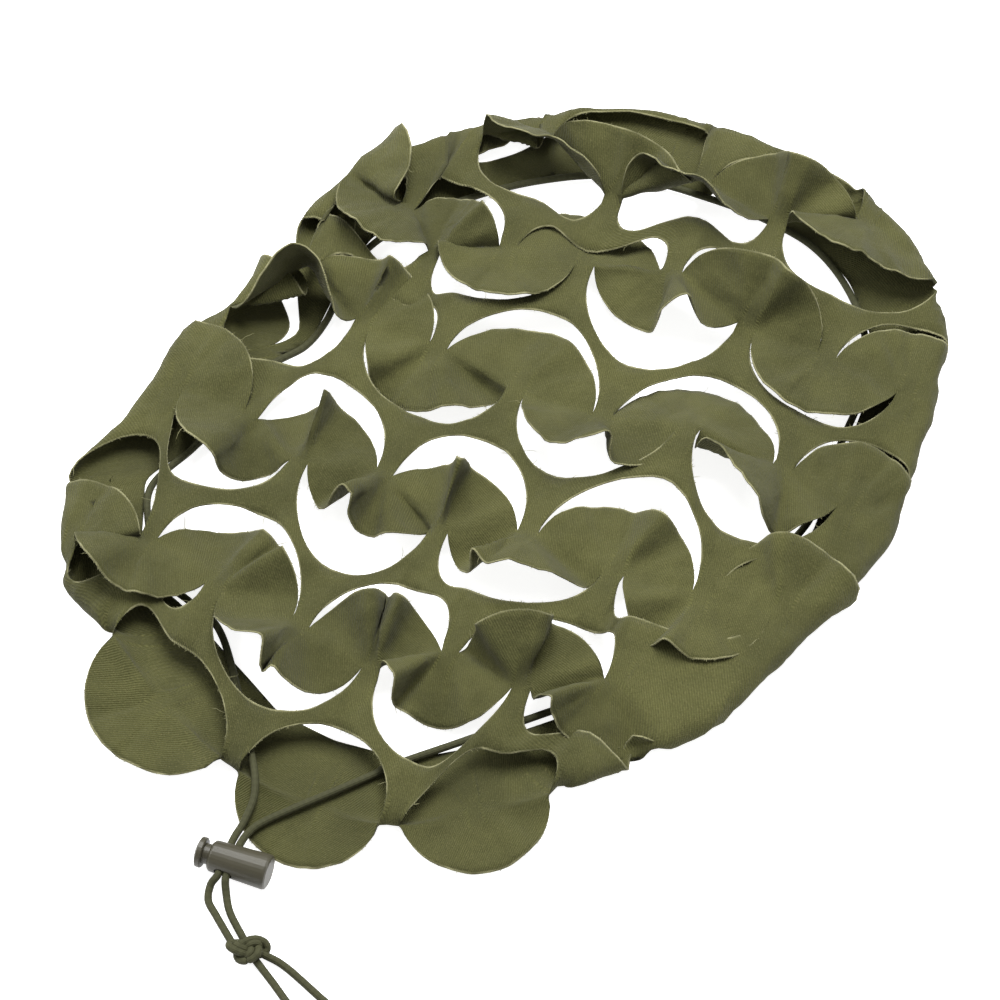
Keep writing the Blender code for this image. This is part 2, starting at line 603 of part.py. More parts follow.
def add_drawcord():
    """The cord lies between the layers, from one side of the front leaf round to the other."""
    start, end = math.radians(CORD_FROM), math.radians(CORD_TO)
    turns = [start + (end - start) * n / 40 for n in range(41)]
    route = []
    for turn in turns:
        reach = fold_reach(turn) - CORD_INSET
        route.append((MIDDLE[0] + reach * math.cos(turn), MIDDLE[1] + reach * math.sin(turn), ON_CLOTH))
    add_cord("drawcord", np.array(route) - (*ORIGIN, 0), spacing=0.014)


def lathe(profile, sides):
    """A solid turned about X from a closed run of (x, radius) that starts and ends on the axis."""
    vertices, rings = [], []
    for x, radius in profile:
        turns = range(sides) if radius else range(1)
        rings.append([len(vertices) + n for n in turns])
        for n in turns:
            angle = 2 * math.pi * n / sides
            vertices.append((x, radius * math.sin(angle), radius * math.cos(angle)))
    faces = []
    for low, high in zip(rings, rings[1:]):
        for n in range(sides):
            ring = [low[n % len(low)], low[(n + 1) % len(low)], high[(n + 1) % len(high)], high[n % len(high)]]
            faces.append([corner for m, corner in enumerate(ring) if corner != ring[m - 1]])
    return vertices, faces


def slot_cutter(name, low, high, height):
    """A slot with round ends, from low to high along X, right through along Y."""
    radius = height / 2
    ends = [(high - radius, -math.pi / 2), (low + radius, math.pi / 2)]
    outline = []
    for centre, first in ends:
        for n in range(9):
            angle = first + math.pi * n / 8
            outline.append((centre + radius * math.cos(angle), radius * math.sin(angle)))
    count = len(outline)
    vertices = [(x, y, z) for y in (-0.02, 0.02) for x, z in outline]
    faces = [list(range(count)), list(range(2 * count - 1, count - 1, -1))]
    faces += [[n, n + count, (n + 1) % count + count, (n + 1) % count] for n in range(count)]
    cutter = add_object(name, vertices, faces, MATERIALS["lock"])
    cutter.hide_render, cutter.display_type = True, "WIRE"
    return cutter


def place_lock(obj):
    obj.location = LOCK_AT
    obj.rotation_euler = (0, 0, math.radians(LOCK_TURN))


def add_turned(name, profile, slot):
    vertices, faces = lathe(profile, LOCK_SIDES)
    obj = add_object(name, vertices, faces, MATERIALS["lock"])
    obj.data.shade_smooth()
    cutter = slot_cutter(name + "_slot", *slot)
    for piece in (obj, cutter):
        place_lock(piece)
    cut = obj.modifiers.new("cord hole", "BOOLEAN")
    cut.object, cut.operation, cut.solver = cutter, "DIFFERENCE", "EXACT"


def add_lock():
    """A barrel and a sprung plunger, both with a cross hole that both strands go through."""
    body_start = HEAD / 2 + PRESS_GAP
    bore_end = STEM_END + PRESS_GAP + GAP
    barrel = (
        (bore_end, 0),
        (bore_end, STEM_RADIUS + BORE_PLAY),
        (body_start, STEM_RADIUS + BORE_PLAY),
        (body_start, 0.0052),
        (body_start + 0.0007, 0.0060),
        (body_start + 0.0012, 0.0062),
        (BARREL_END - 0.0012, LOCK_RADIUS),
        (BARREL_END - 0.0004, LOCK_RADIUS - 0.0003),
        (BARREL_END, LOCK_RADIUS - 0.0011),
        (BARREL_END, 0),
    )
    plunger = (
        (-HEAD / 2 - 0.0004, 0),
        (-HEAD / 2 - 0.0004, 0.0040),
        (-HEAD / 2, 0.0052),
        (-HEAD / 2 + 0.0005, 0.0060),
        (HEAD / 2 - 0.0004, 0.0060),
        (HEAD / 2, 0.0055),
        (HEAD / 2, STEM_RADIUS),
        (STEM_END - 0.0006, STEM_RADIUS),
        (STEM_END, STEM_RADIUS - 0.0006),
        (STEM_END, 0),
    )
    low, high = HOLE_AT - HOLE_WIDTH / 2, HOLE_AT + HOLE_WIDTH / 2
    add_turned("lock_barrel", barrel, (low, high, HOLE_HEIGHT))
    add_turned("lock_plunger", plunger, (low - PRESS_GAP, high, HOLE_HEIGHT))


def lock_point(along, out, up):
    """A point in the lock's own axes: along the barrel from the plunger's head, out through the hole, up."""
    c, s = math.cos(math.radians(LOCK_TURN)), math.sin(math.radians(LOCK_TURN))
    return np.array(LOCK_AT) + (along * c + out * s, along * s - out * c, up)


def add_knot():
    """The two strands tied in one overhand knot, as one ridged lump."""
    rings, sides = 9, 20
    vertices, faces = [], []
    for ring in range(1, rings):
        tilt = math.pi * ring / rings
        for n in range(sides):
            turn = 2 * math.pi * n / sides
            ridge = 1 + KNOT_RIDGE * math.cos(3 * turn + 4 * tilt)
            across = math.sin(tilt) * ridge
            vertices.append((math.cos(tilt), across * math.cos(turn), across * math.sin(turn)))
    first, last = len(vertices), len(vertices) + 1
    vertices += [(1, 0, 0), (-1, 0, 0)]
    for n in range(sides):
        m = (n + 1) % sides
        faces.append((first, n, m))
        faces.append((last, (rings - 2) * sides + m, (rings - 2) * sides + n))
        for ring in range(rings - 2):
            low, high = ring * sides, (ring + 1) * sides
            faces.append((low + n, high + n, high + m, low + m))
    c, s = math.cos(math.radians(KNOT_TURN)), math.sin(math.radians(KNOT_TURN))
    size = np.array(KNOT_SIZE) / 2
    placed = []
    for vertex in np.array(vertices) * size:
        placed.append(np.array(KNOT_AT) + (vertex[0] * c - vertex[1] * s, vertex[0] * s + vertex[1] * c, vertex[2]))
    add_object("knot", placed, faces, MATERIALS["cord"])


def knot_point(bearing, lift):
    """A point just off the knot's surface, where a strand meets it, on a bearing in the knot's own axes."""
    turn = math.radians(bearing)
    half = np.array(KNOT_SIZE) / 2
    level = (1 + KNOT_RIDGE) * math.sqrt(1 - (lift / half[2]) ** 2)
    reach = level / math.hypot(math.cos(turn) / half[0], math.sin(turn) / half[1]) + KNOT_CLEARANCE
    whole = turn + math.radians(KNOT_TURN)
    return np.array(KNOT_AT) + (reach * math.cos(whole), reach * math.sin(whole), lift)


def add_strands():
    """Both ends of the drawcord: over the front leaf, through the lock, into the knot, and the tails."""
    side = CORD / 2 + GAP / 2
    for name, over, sign, between, bearing in (
        ("cord_left", LEFT_OVER, -1, LEFT_BETWEEN, 148),
        ("cord_right", RIGHT_OVER, 1, RIGHT_BETWEEN, 110),
    ):
        through = [lock_point(HOLE_AT + sign * side, out, 0) for out in (-0.0075, -0.003, 0.003, 0.0075)]
        end = knot_point(bearing, ON_FLOOR - KNOT_AT[2])
        add_cord(name, [*millimetres(*over), *through, *millimetres(*between), end], spacing=0.004)
    for name, bearing, tail in (("tail_left", -53, LEFT_TAIL), ("tail_right", -12, RIGHT_TAIL)):
        start = knot_point(bearing, ON_FLOOR - KNOT_AT[2])
        add_cord(name, [start, *millimetres(*tail)])


clear_scene()
MATERIALS = {
    "twill": material("olive twill", (0.115, 0.125, 0.047), 0.9),
    "cord": material("olive cord", (0.075, 0.078, 0.035), 0.75),
    "lock": material("lock plastic", (0.105, 0.105, 0.075), 0.45),
}
add_cover()
add_drawcord()
add_lock()
add_knot()
add_strands()
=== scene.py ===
"""Helmet cover: one piece of olive twill cut into a net of leaves, its elastic drawcord, cord lock and knot.

Metres, +Z up. The cover lies collapsed on the surface with its edge turned in under a fold.
"""
import math
import random

import bpy
import numpy as np
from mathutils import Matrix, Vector, noise


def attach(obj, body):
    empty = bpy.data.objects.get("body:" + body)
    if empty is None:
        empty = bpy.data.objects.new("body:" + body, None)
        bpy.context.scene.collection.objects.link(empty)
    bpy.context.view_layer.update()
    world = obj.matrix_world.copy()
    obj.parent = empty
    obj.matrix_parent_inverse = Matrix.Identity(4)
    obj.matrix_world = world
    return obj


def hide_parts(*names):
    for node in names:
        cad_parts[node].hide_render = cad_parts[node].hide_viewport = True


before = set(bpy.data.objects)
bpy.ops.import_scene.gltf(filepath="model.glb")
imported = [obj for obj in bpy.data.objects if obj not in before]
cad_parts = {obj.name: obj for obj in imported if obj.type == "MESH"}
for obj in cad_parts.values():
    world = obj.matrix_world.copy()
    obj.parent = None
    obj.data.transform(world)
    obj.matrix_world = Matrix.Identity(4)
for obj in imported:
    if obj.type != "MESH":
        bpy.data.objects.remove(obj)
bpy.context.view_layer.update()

# ---------------- camera
# A long lens, well above the cover and a little to the right of its front, as a tabletop shot is set up.
# The net is laid out from a zero of its own, and its middle lies this far from it.
ORIGIN = (-0.0135, 0.0194)
CAMERA_AZIMUTH, CAMERA_ELEVATION, CAMERA_DISTANCE = math.radians(24), math.radians(57), 1.60

camera = bpy.data.objects.new("camera", bpy.data.cameras.new("camera"))
bpy.context.scene.collection.objects.link(camera)
camera.data.lens, camera.data.sensor_width = 144, 36
camera.data.shift_x, camera.data.shift_y = -0.010, 0.005
looking_back = Vector((
    math.sin(CAMERA_AZIMUTH) * math.cos(CAMERA_ELEVATION),
    -math.cos(CAMERA_AZIMUTH) * math.cos(CAMERA_ELEVATION),
    math.sin(CAMERA_ELEVATION),
))
camera.location = Vector((-ORIGIN[0], -ORIGIN[1], 0.012)) + looking_back * CAMERA_DISTANCE
camera.rotation_mode = "QUATERNION"
camera.rotation_quaternion = looking_back.to_track_quat("Z", "Y")
camera.data.clip_start, camera.data.clip_end = 0.05, 50
bpy.context.scene.camera = camera


# ---------------- drawcord
# One length of round elastic cord: rubber threads under a braided olive sleeve, 3 mm thick. It lies between
# the layers of the cover right round, and both ends come out over the front leaf, go side by side through
# the lock and are tied in one overhand knot.
CORD, CORD_SIDES = 0.0030, 16
FABRIC = 0.0012  # what each layer of the cover takes up
GAP = 0.0003
CORD_INSET = 0.031  # from the fold to the cord
CORD_FROM, CORD_TO = -78.5, 257.0
ON_CLOTH = FABRIC + GAP + CORD / 2
ON_FLOOR = CORD / 2 + 0.0001
# in mm from the net's zero
LEFT_OVER = (
    (-53, -132, 2.9), (-49, -138, 4.2), (-41.2, -149, 6.3),
    (-37.1, -158.2, 5.3), (-36.3, -168, 4.1), (-36.4, -175, 4.9),
)
RIGHT_OVER = (
    (5, -122.5, 2.9), (1, -128, 2.9), (-8.7, -140, 3.2),
    (-20.7, -154.3, 3.4), (-30, -166, 3.5), (-32.6, -173, 4.7),
)
LEFT_BETWEEN = ((-36, -198, 4), (-34.5, -203.5, 2), (-29, -208, 1.7))
RIGHT_BETWEEN = ((-29, -199, 3.5), (-24.5, -205, 1.9))
LEFT_TAIL = ((3.5, -225, 1.6), (10.3, -229.2, 1.6), (19.5, -234.5, 1.6), (27, -239.5, 1.6))
RIGHT_TAIL = ((4.5, -216.8, 1.6), (23, -223.4, 1.6), (32, -226.4, 1.6), (41, -231, 1.6))
LOCK_TURN, LOCK_RADIUS, HOLE_AT = 5.0, 0.0069, 0.0110
ALONG_HOLE = (-0.0075, -0.003, 0.003, 0.0075)  # points of a strand's route in the hole, out from its middle
LOCK_AT = (-0.0445 - ORIGIN[0], -0.1883 - ORIGIN[1], LOCK_RADIUS)
KNOT_SIZE, KNOT_RIDGE, KNOT_CLEARANCE, KNOT_TURN = (0.0165, 0.0115, 0.0080), 0.07, 0.0016, 24.0
KNOT_AT = (-0.0110 - ORIGIN[0], -0.2170 - ORIGIN[1], KNOT_SIZE[2] / 2 * (1 + KNOT_RIDGE))
# the bearings in degrees, in the knot's own axes, on which the strands meet it
LEFT_END, RIGHT_END, LEFT_TAIL_END, RIGHT_TAIL_END = 148, 110, -53, -12
CORD_DARK, CORD_LIGHT = (0.022, 0.0225, 0.0085), (0.046, 0.0465, 0.0190)
CORD_FUZZ = (0.085, 0.085, 0.045)
BRAID_PITCH, BRAID_STRANDS = 0.0052, 6
MIDDLE = (-0.016, 0.016)  # the middle of the cover, from the net's zero
# corners of the cover's folded edge seen from above, in mm from the net's zero
FOLD_LINE = (
    (-52, -146), (-22, -149), (13, -145), (40, -128), (66, -104), (91, -80), (107, -58), (115, -37),
    (135, 27), (141, 49), (137, 86), (134, 115), (129, 148), (117, 167), (97, 190), (72, 205),
    (41, 211), (4, 212), (-27, 209), (-55, 198), (-84, 178), (-107, 156), (-131, 127), (-136, 103),
    (-138, 57), (-154, 26), (-158, -25), (-169, -53), (-155, -83), (-142, -103), (-123, -110), (-87, -129),
)


def millimetres(*route):
    """A route written in mm from the net's zero, in metres from the part's origin."""
    return np.array(route) / 1000 - (*ORIGIN, 0)


def smooth_route(points, spacing=0.0015):
    """Points every spacing or so along a smooth curve through the route's own points (Catmull-Rom)."""
    points = np.array(points, float)
    padded = np.concatenate([[2 * points[0] - points[1]], points, [2 * points[-1] - points[-2]]])
    found = []
    for a, b, c, d in zip(padded, padded[1:], padded[2:], padded[3:]):
        count = max(1, round(np.linalg.norm(c - b) / spacing))
        for t in np.arange(count) / count:
            square, cube = (2 * a - 5 * b + 4 * c - d) * t**2, (3 * b - a - 3 * c + d) * t**3
            found.append(0.5 * (2 * b + (c - a) * t + square + cube))
    return np.array([*found, points[-1]])


def fold_distances(samples=1440, softened=14):
    """The distance of the fold line from the middle, by bearing, with its corners softened."""
    bearings = np.arange(samples) * 2 * math.pi / samples
    corners = np.array(FOLD_LINE) / 1000 - MIDDLE
    reach = np.full(samples, np.inf)
    for start, end in zip(corners, np.roll(corners, -1, axis=0)):
        side = end - start
        across = np.cos(bearings) * side[1] - np.sin(bearings) * side[0]
        away = (start[0] * side[1] - start[1] * side[0]) / across
        along = (start[0] * np.sin(bearings) - start[1] * np.cos(bearings)) / across
        met = (along >= -1e-6) & (along <= 1 + 1e-6) & (away > 0)
        reach = np.where(met, np.minimum(reach, away), reach)
    weights = np.exp(-((np.arange(-softened, softened + 1) / (softened * 0.43)) ** 2))
    ringed = np.concatenate([reach[-softened:], reach, reach[: softened + 1]])
    return np.append(bearings, 2 * math.pi), np.convolve(ringed, weights / weights.sum(), "valid")


FOLD_BEARINGS, FOLD_REACH = fold_distances()


def fold_reach(bearing):
    return np.interp(bearing % (2 * math.pi), FOLD_BEARINGS, FOLD_REACH)


def lock_point(along, out, up):
    """A point in the lock's own axes: along the barrel from the plunger's head, out through the hole, up."""
    c, s = math.cos(math.radians(LOCK_TURN)), math.sin(math.radians(LOCK_TURN))
    return np.array(LOCK_AT) + (along * c + out * s, along * s - out * c, up)


def knot_point(bearing):
    """The point just off the knot where a strand that lies on the floor meets it."""
    turn, lift = math.radians(bearing), ON_FLOOR - KNOT_AT[2]
    half = np.array(KNOT_SIZE) / 2
    level = (1 + KNOT_RIDGE) * math.sqrt(1 - (lift / half[2]) ** 2)
    reach = level / math.hypot(math.cos(turn) / half[0], math.sin(turn) / half[1]) + KNOT_CLEARANCE
    whole = turn + math.radians(KNOT_TURN)
    return np.array(KNOT_AT) + (reach * math.cos(whole), reach * math.sin(whole), lift)


def dome(ring, radius, sign, count=3):
    """The rings that round off the end of a tube, from the tube outwards."""
    point, way, across, up, reached, _ = ring
    found = []
    for angle in [math.pi / 2 * (n + 1) / (count + 1) for n in range(count)]:
        out = sign * radius * math.sin(angle)
        found.append((point + way * out, way, across, up, reached + out, math.cos(angle)))
    return found


def tube(vertices, faces, corners, line, radius, sides):
    """Adds a round tube with domed ends along a line. Its UV is metres along it and turns round it."""
    line = np.array(line)
    travelled = np.concatenate([[0], np.cumsum(np.linalg.norm(np.diff(line, axis=0), axis=1))])
    forward = np.gradient(line, axis=0)
    forward /= np.linalg.norm(forward, axis=1)[:, None]
    side = np.cross(forward[0], (0, 0, 1))
    rings = []
    for n, point in enumerate(line):
        side = side - forward[n] * side.dot(forward[n])
        side /= np.linalg.norm(side)
        rings.append((point, forward[n], side, np.cross(forward[n], side), travelled[n], 1.0))
    rings = dome(rings[0], radius, -1)[::-1] + rings + dome(rings[-1], radius, 1)
    start = len(vertices)
    for point, _, across, up, _, share in rings:
        for k in range(sides):
            turn = 2 * math.pi * k / sides
            vertices.append(point + (across * math.cos(turn) + up * math.sin(turn)) * radius * share)
    poles = len(vertices)
    from_ring = radius - np.linalg.norm(rings[0][0] - line[0])
    vertices.append(rings[0][0] - rings[0][1] * from_ring)
    vertices.append(rings[-1][0] + rings[-1][1] * from_ring)
    for n in range(len(rings) - 1):
        low, high = rings[n][4], rings[n + 1][4]
        here, there = start + n * sides, start + (n + 1) * sides
        for k in range(sides):
            m, a, b = (k + 1) % sides, k / sides, (k + 1) / sides
            faces.append((here + k, here + m, there + m, there + k))
            corners.append(((low, a), (low, b), (high, b), (high, a)))
    top = start + (len(rings) - 1) * sides
    low, high = rings[0][4], rings[-1][4]
    for k in range(sides):
        m, a, b = (k + 1) % sides, k / sides, (k + 1) / sides
        faces.append((poles, start + m, start + k))
        corners.append(((low, a), (low, b), (low, a)))
        faces.append((poles + 1, top + k, top + m))
        corners.append(((high, a), (high, a), (high, b)))


def mesh_piece(name, vertices, faces, corners, finish):
    """A smooth-shaded piece from mesh code, with a UV for each corner of each face."""
    mesh = bpy.data.meshes.new(name)
    mesh.from_pydata([tuple(v) for v in vertices], [], [tuple(f) for f in faces])
    layer = mesh.uv_layers.new(name="UVMap")
    layer.data.foreach_set("uv", [value for ring in corners for pair in ring for value in pair])
    mesh.materials.append(finish)
    mesh.shade_smooth()
    piece = bpy.data.objects.new(name, mesh)
    bpy.context.scene.collection.objects.link(piece)
    return piece


def operator(operation):
    return lambda self, other: self.calculate(operation, self, other)


class Socket:
    """A number from a node, which arithmetic turns into more Math nodes."""

    def __init__(self, recipe, link):
        self.recipe, self.link = recipe, link

    def calculate(self, operation, *values):
        return self.recipe.node("Math", {"operation": operation}, dict(enumerate(values)))

    __add__ = __radd__ = operator("ADD")
    __mul__ = __rmul__ = operator("MULTIPLY")
    __sub__, __truediv__ = operator("SUBTRACT"), operator("DIVIDE")
    __pow__, __mod__ = operator("POWER"), operator("FLOORED_MODULO")

    def __rsub__(self, other):
        return self.calculate("SUBTRACT", other, self)

    def sine(self):
        return self.calculate("SINE", self)

    def size(self):
        return self.calculate("ABSOLUTE", self)

    def clamped(self, low, high):
        """0 at low and below, 1 at high and above, smooth between."""
        way = {"interpolation_type": "SMOOTHSTEP", "clamp": True}
        return self.recipe.node("MapRange", way, {0: self, 1: low, 2: high, 3: 0.0, 4: 1.0})


class Recipe:
    """A material, with one method that adds any node to it."""

    def __init__(self, name, **sockets):
        self.material = bpy.data.materials.new(name)
        self.material.use_nodes = True
        self.tree = self.material.node_tree
        self.shader = self.tree.nodes["Principled BSDF"]
        for socket, value in sockets.items():
            self.shader.inputs[socket.replace("_", " ")].default_value = value

    def node(self, kind, settings=None, values=None, output=0):
        made = self.tree.nodes.new("ShaderNode" + kind)
        for setting, value in (settings or {}).items():
            setattr(made, setting, value)
        for socket, value in (values or {}).items():
            self.give(made.inputs[socket], value)
        return Socket(self, made.outputs[output])

    def give(self, socket, value):
        if isinstance(value, Socket):
            self.tree.links.new(value.link, socket)
        else:
            socket.default_value = value

    def mix(self, share, first, second):
        """A colour between two: tuples or colour sockets."""
        colours = [c if isinstance(c, Socket) else (*c, 1) for c in (first, second)]
        return self.node("Mix", {"data_type": "RGBA"}, {0: share, 6: colours[0], 7: colours[1]}, output=2)

    def noise(self, place, scale, detail=3.0, roughness=0.55):
        values = {"Vector": place, "Scale": scale, "Detail": detail, "Roughness": roughness}
        return self.node("TexNoise", {}, values)

    def parts_of(self, vector):
        made = self.node("SeparateXYZ", {}, {0: vector}).link.node
        return [Socket(self, part) for part in made.outputs]

    def bump(self, height, distance, strength=1.0):
        return self.node("Bump", {}, {"Height": height, "Distance": distance, "Strength": strength})

    def finish(self, **links):
        for socket, value in links.items():
            self.give(self.shader.inputs[socket.replace("_", " ")], value)
        return self.material


def braided_cord():
    """Olive yarn braided over rubber: a little fuzz, and painted shade in the gaps of the braid."""
    cord = Recipe("braided elastic cord", Roughness=0.8, Specular_IOR_Level=0.25)
    along, turn, _ = cord.parts_of(cord.node("UVMap", {"uv_map": "UVMap"}))
    one_way = ((along / BRAID_PITCH + turn * BRAID_STRANDS) * math.tau).sine()
    other_way = ((along / BRAID_PITCH - turn * BRAID_STRANDS) * math.tau).sine()
    braid = (one_way * other_way) * 0.5 + 0.5
    place = cord.node("TexCoord", output=3)
    shade = cord.noise(place, 90.0)
    fuzz = cord.noise(place, 2600.0, 2.0)
    # the gaps of the braid are darkened here as painted shade, and the noise adds uneven tone
    colour = cord.mix(braid * 0.40 + shade * 0.50, CORD_DARK, CORD_LIGHT)
    colour = cord.mix(fuzz.clamped(0.58, 0.75) * 0.35, colour, CORD_FUZZ)
    return cord.finish(Base_Color=colour, Normal=cord.bump(braid + fuzz * 0.5, 0.00015))


CORD_FINISH = braided_cord()


def drawcord_route():
    """From the knot up through the lock, right round between the layers, and back to the knot."""
    start, end = math.radians(CORD_FROM), math.radians(CORD_TO)
    hidden = []
    for n in range(2, 39):
        turn = end + (start - end) * n / 40
        reach = fold_reach(turn) - CORD_INSET
        x, y = MIDDLE[0] + reach * math.cos(turn), MIDDLE[1] + reach * math.sin(turn)
        hidden.append((x - ORIGIN[0], y - ORIGIN[1], ON_CLOTH))
    side = CORD / 2 + GAP / 2
    left_through = [lock_point(HOLE_AT - side, out, 0) for out in ALONG_HOLE]
    right_through = [lock_point(HOLE_AT + side, out, 0) for out in ALONG_HOLE]
    left = [*millimetres(*LEFT_OVER), *left_through, *millimetres(*LEFT_BETWEEN), knot_point(LEFT_END)]
    right = [*millimetres(*RIGHT_OVER), *right_through, *millimetres(*RIGHT_BETWEEN), knot_point(RIGHT_END)]
    return [*left[::-1], *hidden, *right]


def cord_piece(name, line):
    vertices, faces, corners = [], [], []
    tube(vertices, faces, corners, line, CORD / 2, CORD_SIDES)
    piece = mesh_piece(name, vertices, faces, corners, CORD_FINISH)
    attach(piece, "cover")
    return piece


cord_line = smooth_route(drawcord_route())
elastic_cord = cord_piece("elastic_cord", cord_line)
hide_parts("drawcord", "cord_left", "cord_right")
TAIL_TUCK = 0.30  # how far into the knot each tail starts, as a share of its half
KNOT_HEART = np.array(KNOT_AT) + (0, 0, 0.001)
for tail_name, tail_end, tail_route in (
    ("tail_left", LEFT_TAIL_END, LEFT_TAIL), ("tail_right", RIGHT_TAIL_END, RIGHT_TAIL)
):
    edge = knot_point(tail_end)
    inside = edge + (KNOT_HEART - edge) * TAIL_TUCK
    tail_line = smooth_route([inside, *millimetres(*tail_route)])
    tail = cord_piece("cord_" + tail_name, tail_line)
    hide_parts(tail_name)


# ---------------- knot
# Both ends of the cord tied together in one overhand knot, pulled tight, so that each strand shows twice
# round the lump and the two tails leave it side by side.
KNOT_REACH, KNOT_FLATTENING, KNOT_OPENING = 0.00210, 0.60, 0.10
STRAND_APART, STRAND_CROSSING = 0.46, 0.62  # in cords: from the knot's path sideways, and up or down


def knot_line(offset):
    """One strand's path through an overhand knot: a trefoil opened at one lobe, offset in its plane."""
    line = []
    for t in np.linspace(math.pi + KNOT_OPENING, 3 * math.pi - KNOT_OPENING, 72):
        place = np.array((math.sin(t) + 2 * math.sin(2 * t), math.cos(t) - 2 * math.cos(2 * t)))
        way = np.array((math.cos(t) + 4 * math.cos(2 * t), -math.sin(t) + 4 * math.sin(2 * t)))
        way /= np.linalg.norm(way)
        x, y = place * KNOT_REACH + np.array((-way[1], way[0])) * offset
        line.append((x, y * KNOT_FLATTENING, -math.sin(3 * t) * CORD * STRAND_CROSSING))
    return np.array(line)


def tied_knot():
    vertices, faces, corners = [], [], []
    c, s = math.cos(math.radians(KNOT_TURN)), math.sin(math.radians(KNOT_TURN))
    for offset in (-CORD * STRAND_APART, CORD * STRAND_APART):
        x, y, z = knot_line(offset).T
        turned = np.stack([x * c - y * s, x * s + y * c, z], axis=1)
        tube(vertices, faces, corners, turned + KNOT_AT, CORD / 2, CORD_SIDES)
    return mesh_piece("overhand_knot", vertices, faces, corners, CORD_FINISH)


knot = tied_knot()
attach(knot, "cover")
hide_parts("knot")


# ---------------- cord lock
# A barrel and a sprung plunger moulded in grey-olive plastic, both with a cross hole. The spring pushes the
# holes out of line, which grips both strands. The moulded skin is smooth with a faint grain and a soft gloss.
PLASTIC_DARK, PLASTIC_LIGHT = (0.028, 0.0255, 0.0145), (0.040, 0.0360, 0.0210)


def moulded_plastic():
    plastic = Recipe("grey-olive moulded plastic", Specular_IOR_Level=0.4)
    place = plastic.node("TexCoord", output=3)
    cloud = plastic.noise(place, 140.0)
    grain = plastic.noise(place, 3200.0, 2.0)
    colour = plastic.mix(cloud, PLASTIC_DARK, PLASTIC_LIGHT)
    rough = cloud * 0.10 + grain * 0.08 + 0.36
    return plastic.finish(Base_Color=colour, Roughness=rough, Normal=plastic.bump(grain, 0.00002, 0.6))


PLASTIC = moulded_plastic()
for lock_node in ("lock_barrel", "lock_plunger"):
    for material_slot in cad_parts[lock_node].material_slots:
        material_slot.material = PLASTIC


# ---------------- cover
# One piece of cotton twill. Rows of half-round cuts, offset like bricks, turn it into a net of round leaves
# that hang from narrow joints. It lies collapsed: the net is pulled open on top, a little unevenly, and its
# edge is turned in all round under a fold. The cut edges are raw and frayed.
PITCH, ROW, CUT_RADIUS = 0.072, 0.060, 0.032
HALF = PITCH / 2
JOIN = HALF - CUT_RADIUS
TWILL = 0.0006
FOLD_RADIUS, TURNED_IN, NET_HEIGHT, SLOPE = 0.0044, 0.042, 0.013, 0.070
FREE_FROM, CUT_REACH = 0.007, 0.004
FIRST, ALONG = np.array((-0.0100, 0.1810)), np.array((0.0675, 0.0023))
DOWN, FOOT_DROP = np.array((-0.0024, -0.0646)), np.array((0.0007, -0.0071))
CUT_STEPS, LEAF_STEPS, WEB_STEPS = 20, 10, 5
EASING_ROUNDS, NORMAL_ROUNDS, CALM_ROUND_JOINTS = 6, 6, 0.010
DENT, RIDGE, CREASE, RIPPLE = 0.0013, 0.0010, 0.0006, 0.00018  # how far each kind of crumple stands off
RIB_PITCH, YARN_PITCH = 0.00086, 0.00043
TWILL_DARK, TWILL_LIGHT, TWILL_FLECK = (0.038, 0.039, 0.0115), (0.080, 0.080, 0.0250), (0.115, 0.103, 0.043)
# the first colour below is painted shade for the grooves of the twill's ribs and yarns, and also the colour of
# its dark specks
TWILL_SHADE_AND_SPECKLE, RAW_EDGE = (0.028, 0.028, 0.0085), (0.25, 0.24, 0.13)

# how far the pull of the cord and the folds carry each joint from the even net. By kind and row: the leaf,
# then mm to the right, away and up
JOINTS = {
    ("foot", 0): ((-1, -14, -4, 0), (0, -13, -18, 0), (1, -13, -2, 0), (2, -3, -1, 0)),
    ("foot", 1): ((-2, 12, 23, 0), (-1, -1, -8, 0), (0, -8, 11, 0), (1, -2, 6, 0), (2, 2, 1, 0)),
    ("foot", 2): ((-1, -10, 13, 0), (0, -6, 6, 0), (1, 0, 11, 10), (2, 2, 4, 0)),
    ("foot", 3): ((-2, 3, 24, 0), (-1, -2, 5, 0), (0, -4, -5, 0), (1, 0, 4, 0), (2, -1, 14, 0)),
    ("foot", 4): ((-1, -5, 3, 0), (0, 1, -8, 0), (1, -10, 5, 0)),
    ("foot", 5): ((-1, -4, 12, 0), (0, 5, -16, 0), (1, 1, 2, 0)),
    ("neck", 0): ((-1, -21, 2, 0), (0, -17, 1, 0), (1, -14, 9, 0)),
    ("neck", 1): ((-2, 14, 8, 0), (-1, -7, 2, 0), (0, -7, 17, 0)),
    ("neck", 2): ((-2, -10, 28, 0), (-1, -10, 8, 0), (0, -2, 0, 0), (1, 7, 5, 0)),
    ("neck", 3): ((-2, 5, 14, 0), (-1, -1, 9, 0), (0, -5, 3, 0), (1, 2, 3, 0)),
    ("neck", 4): ((-2, -5, 11, 0), (-1, 1, -6, 0), (0, -8, 5, 0), (1, -12, 18, 0)),
    ("neck", 5): ((-2, 0, 31, 0), (-1, 4, -8, 0), (0, 4, -9, 0), (1, -9, 29, 0)),
}

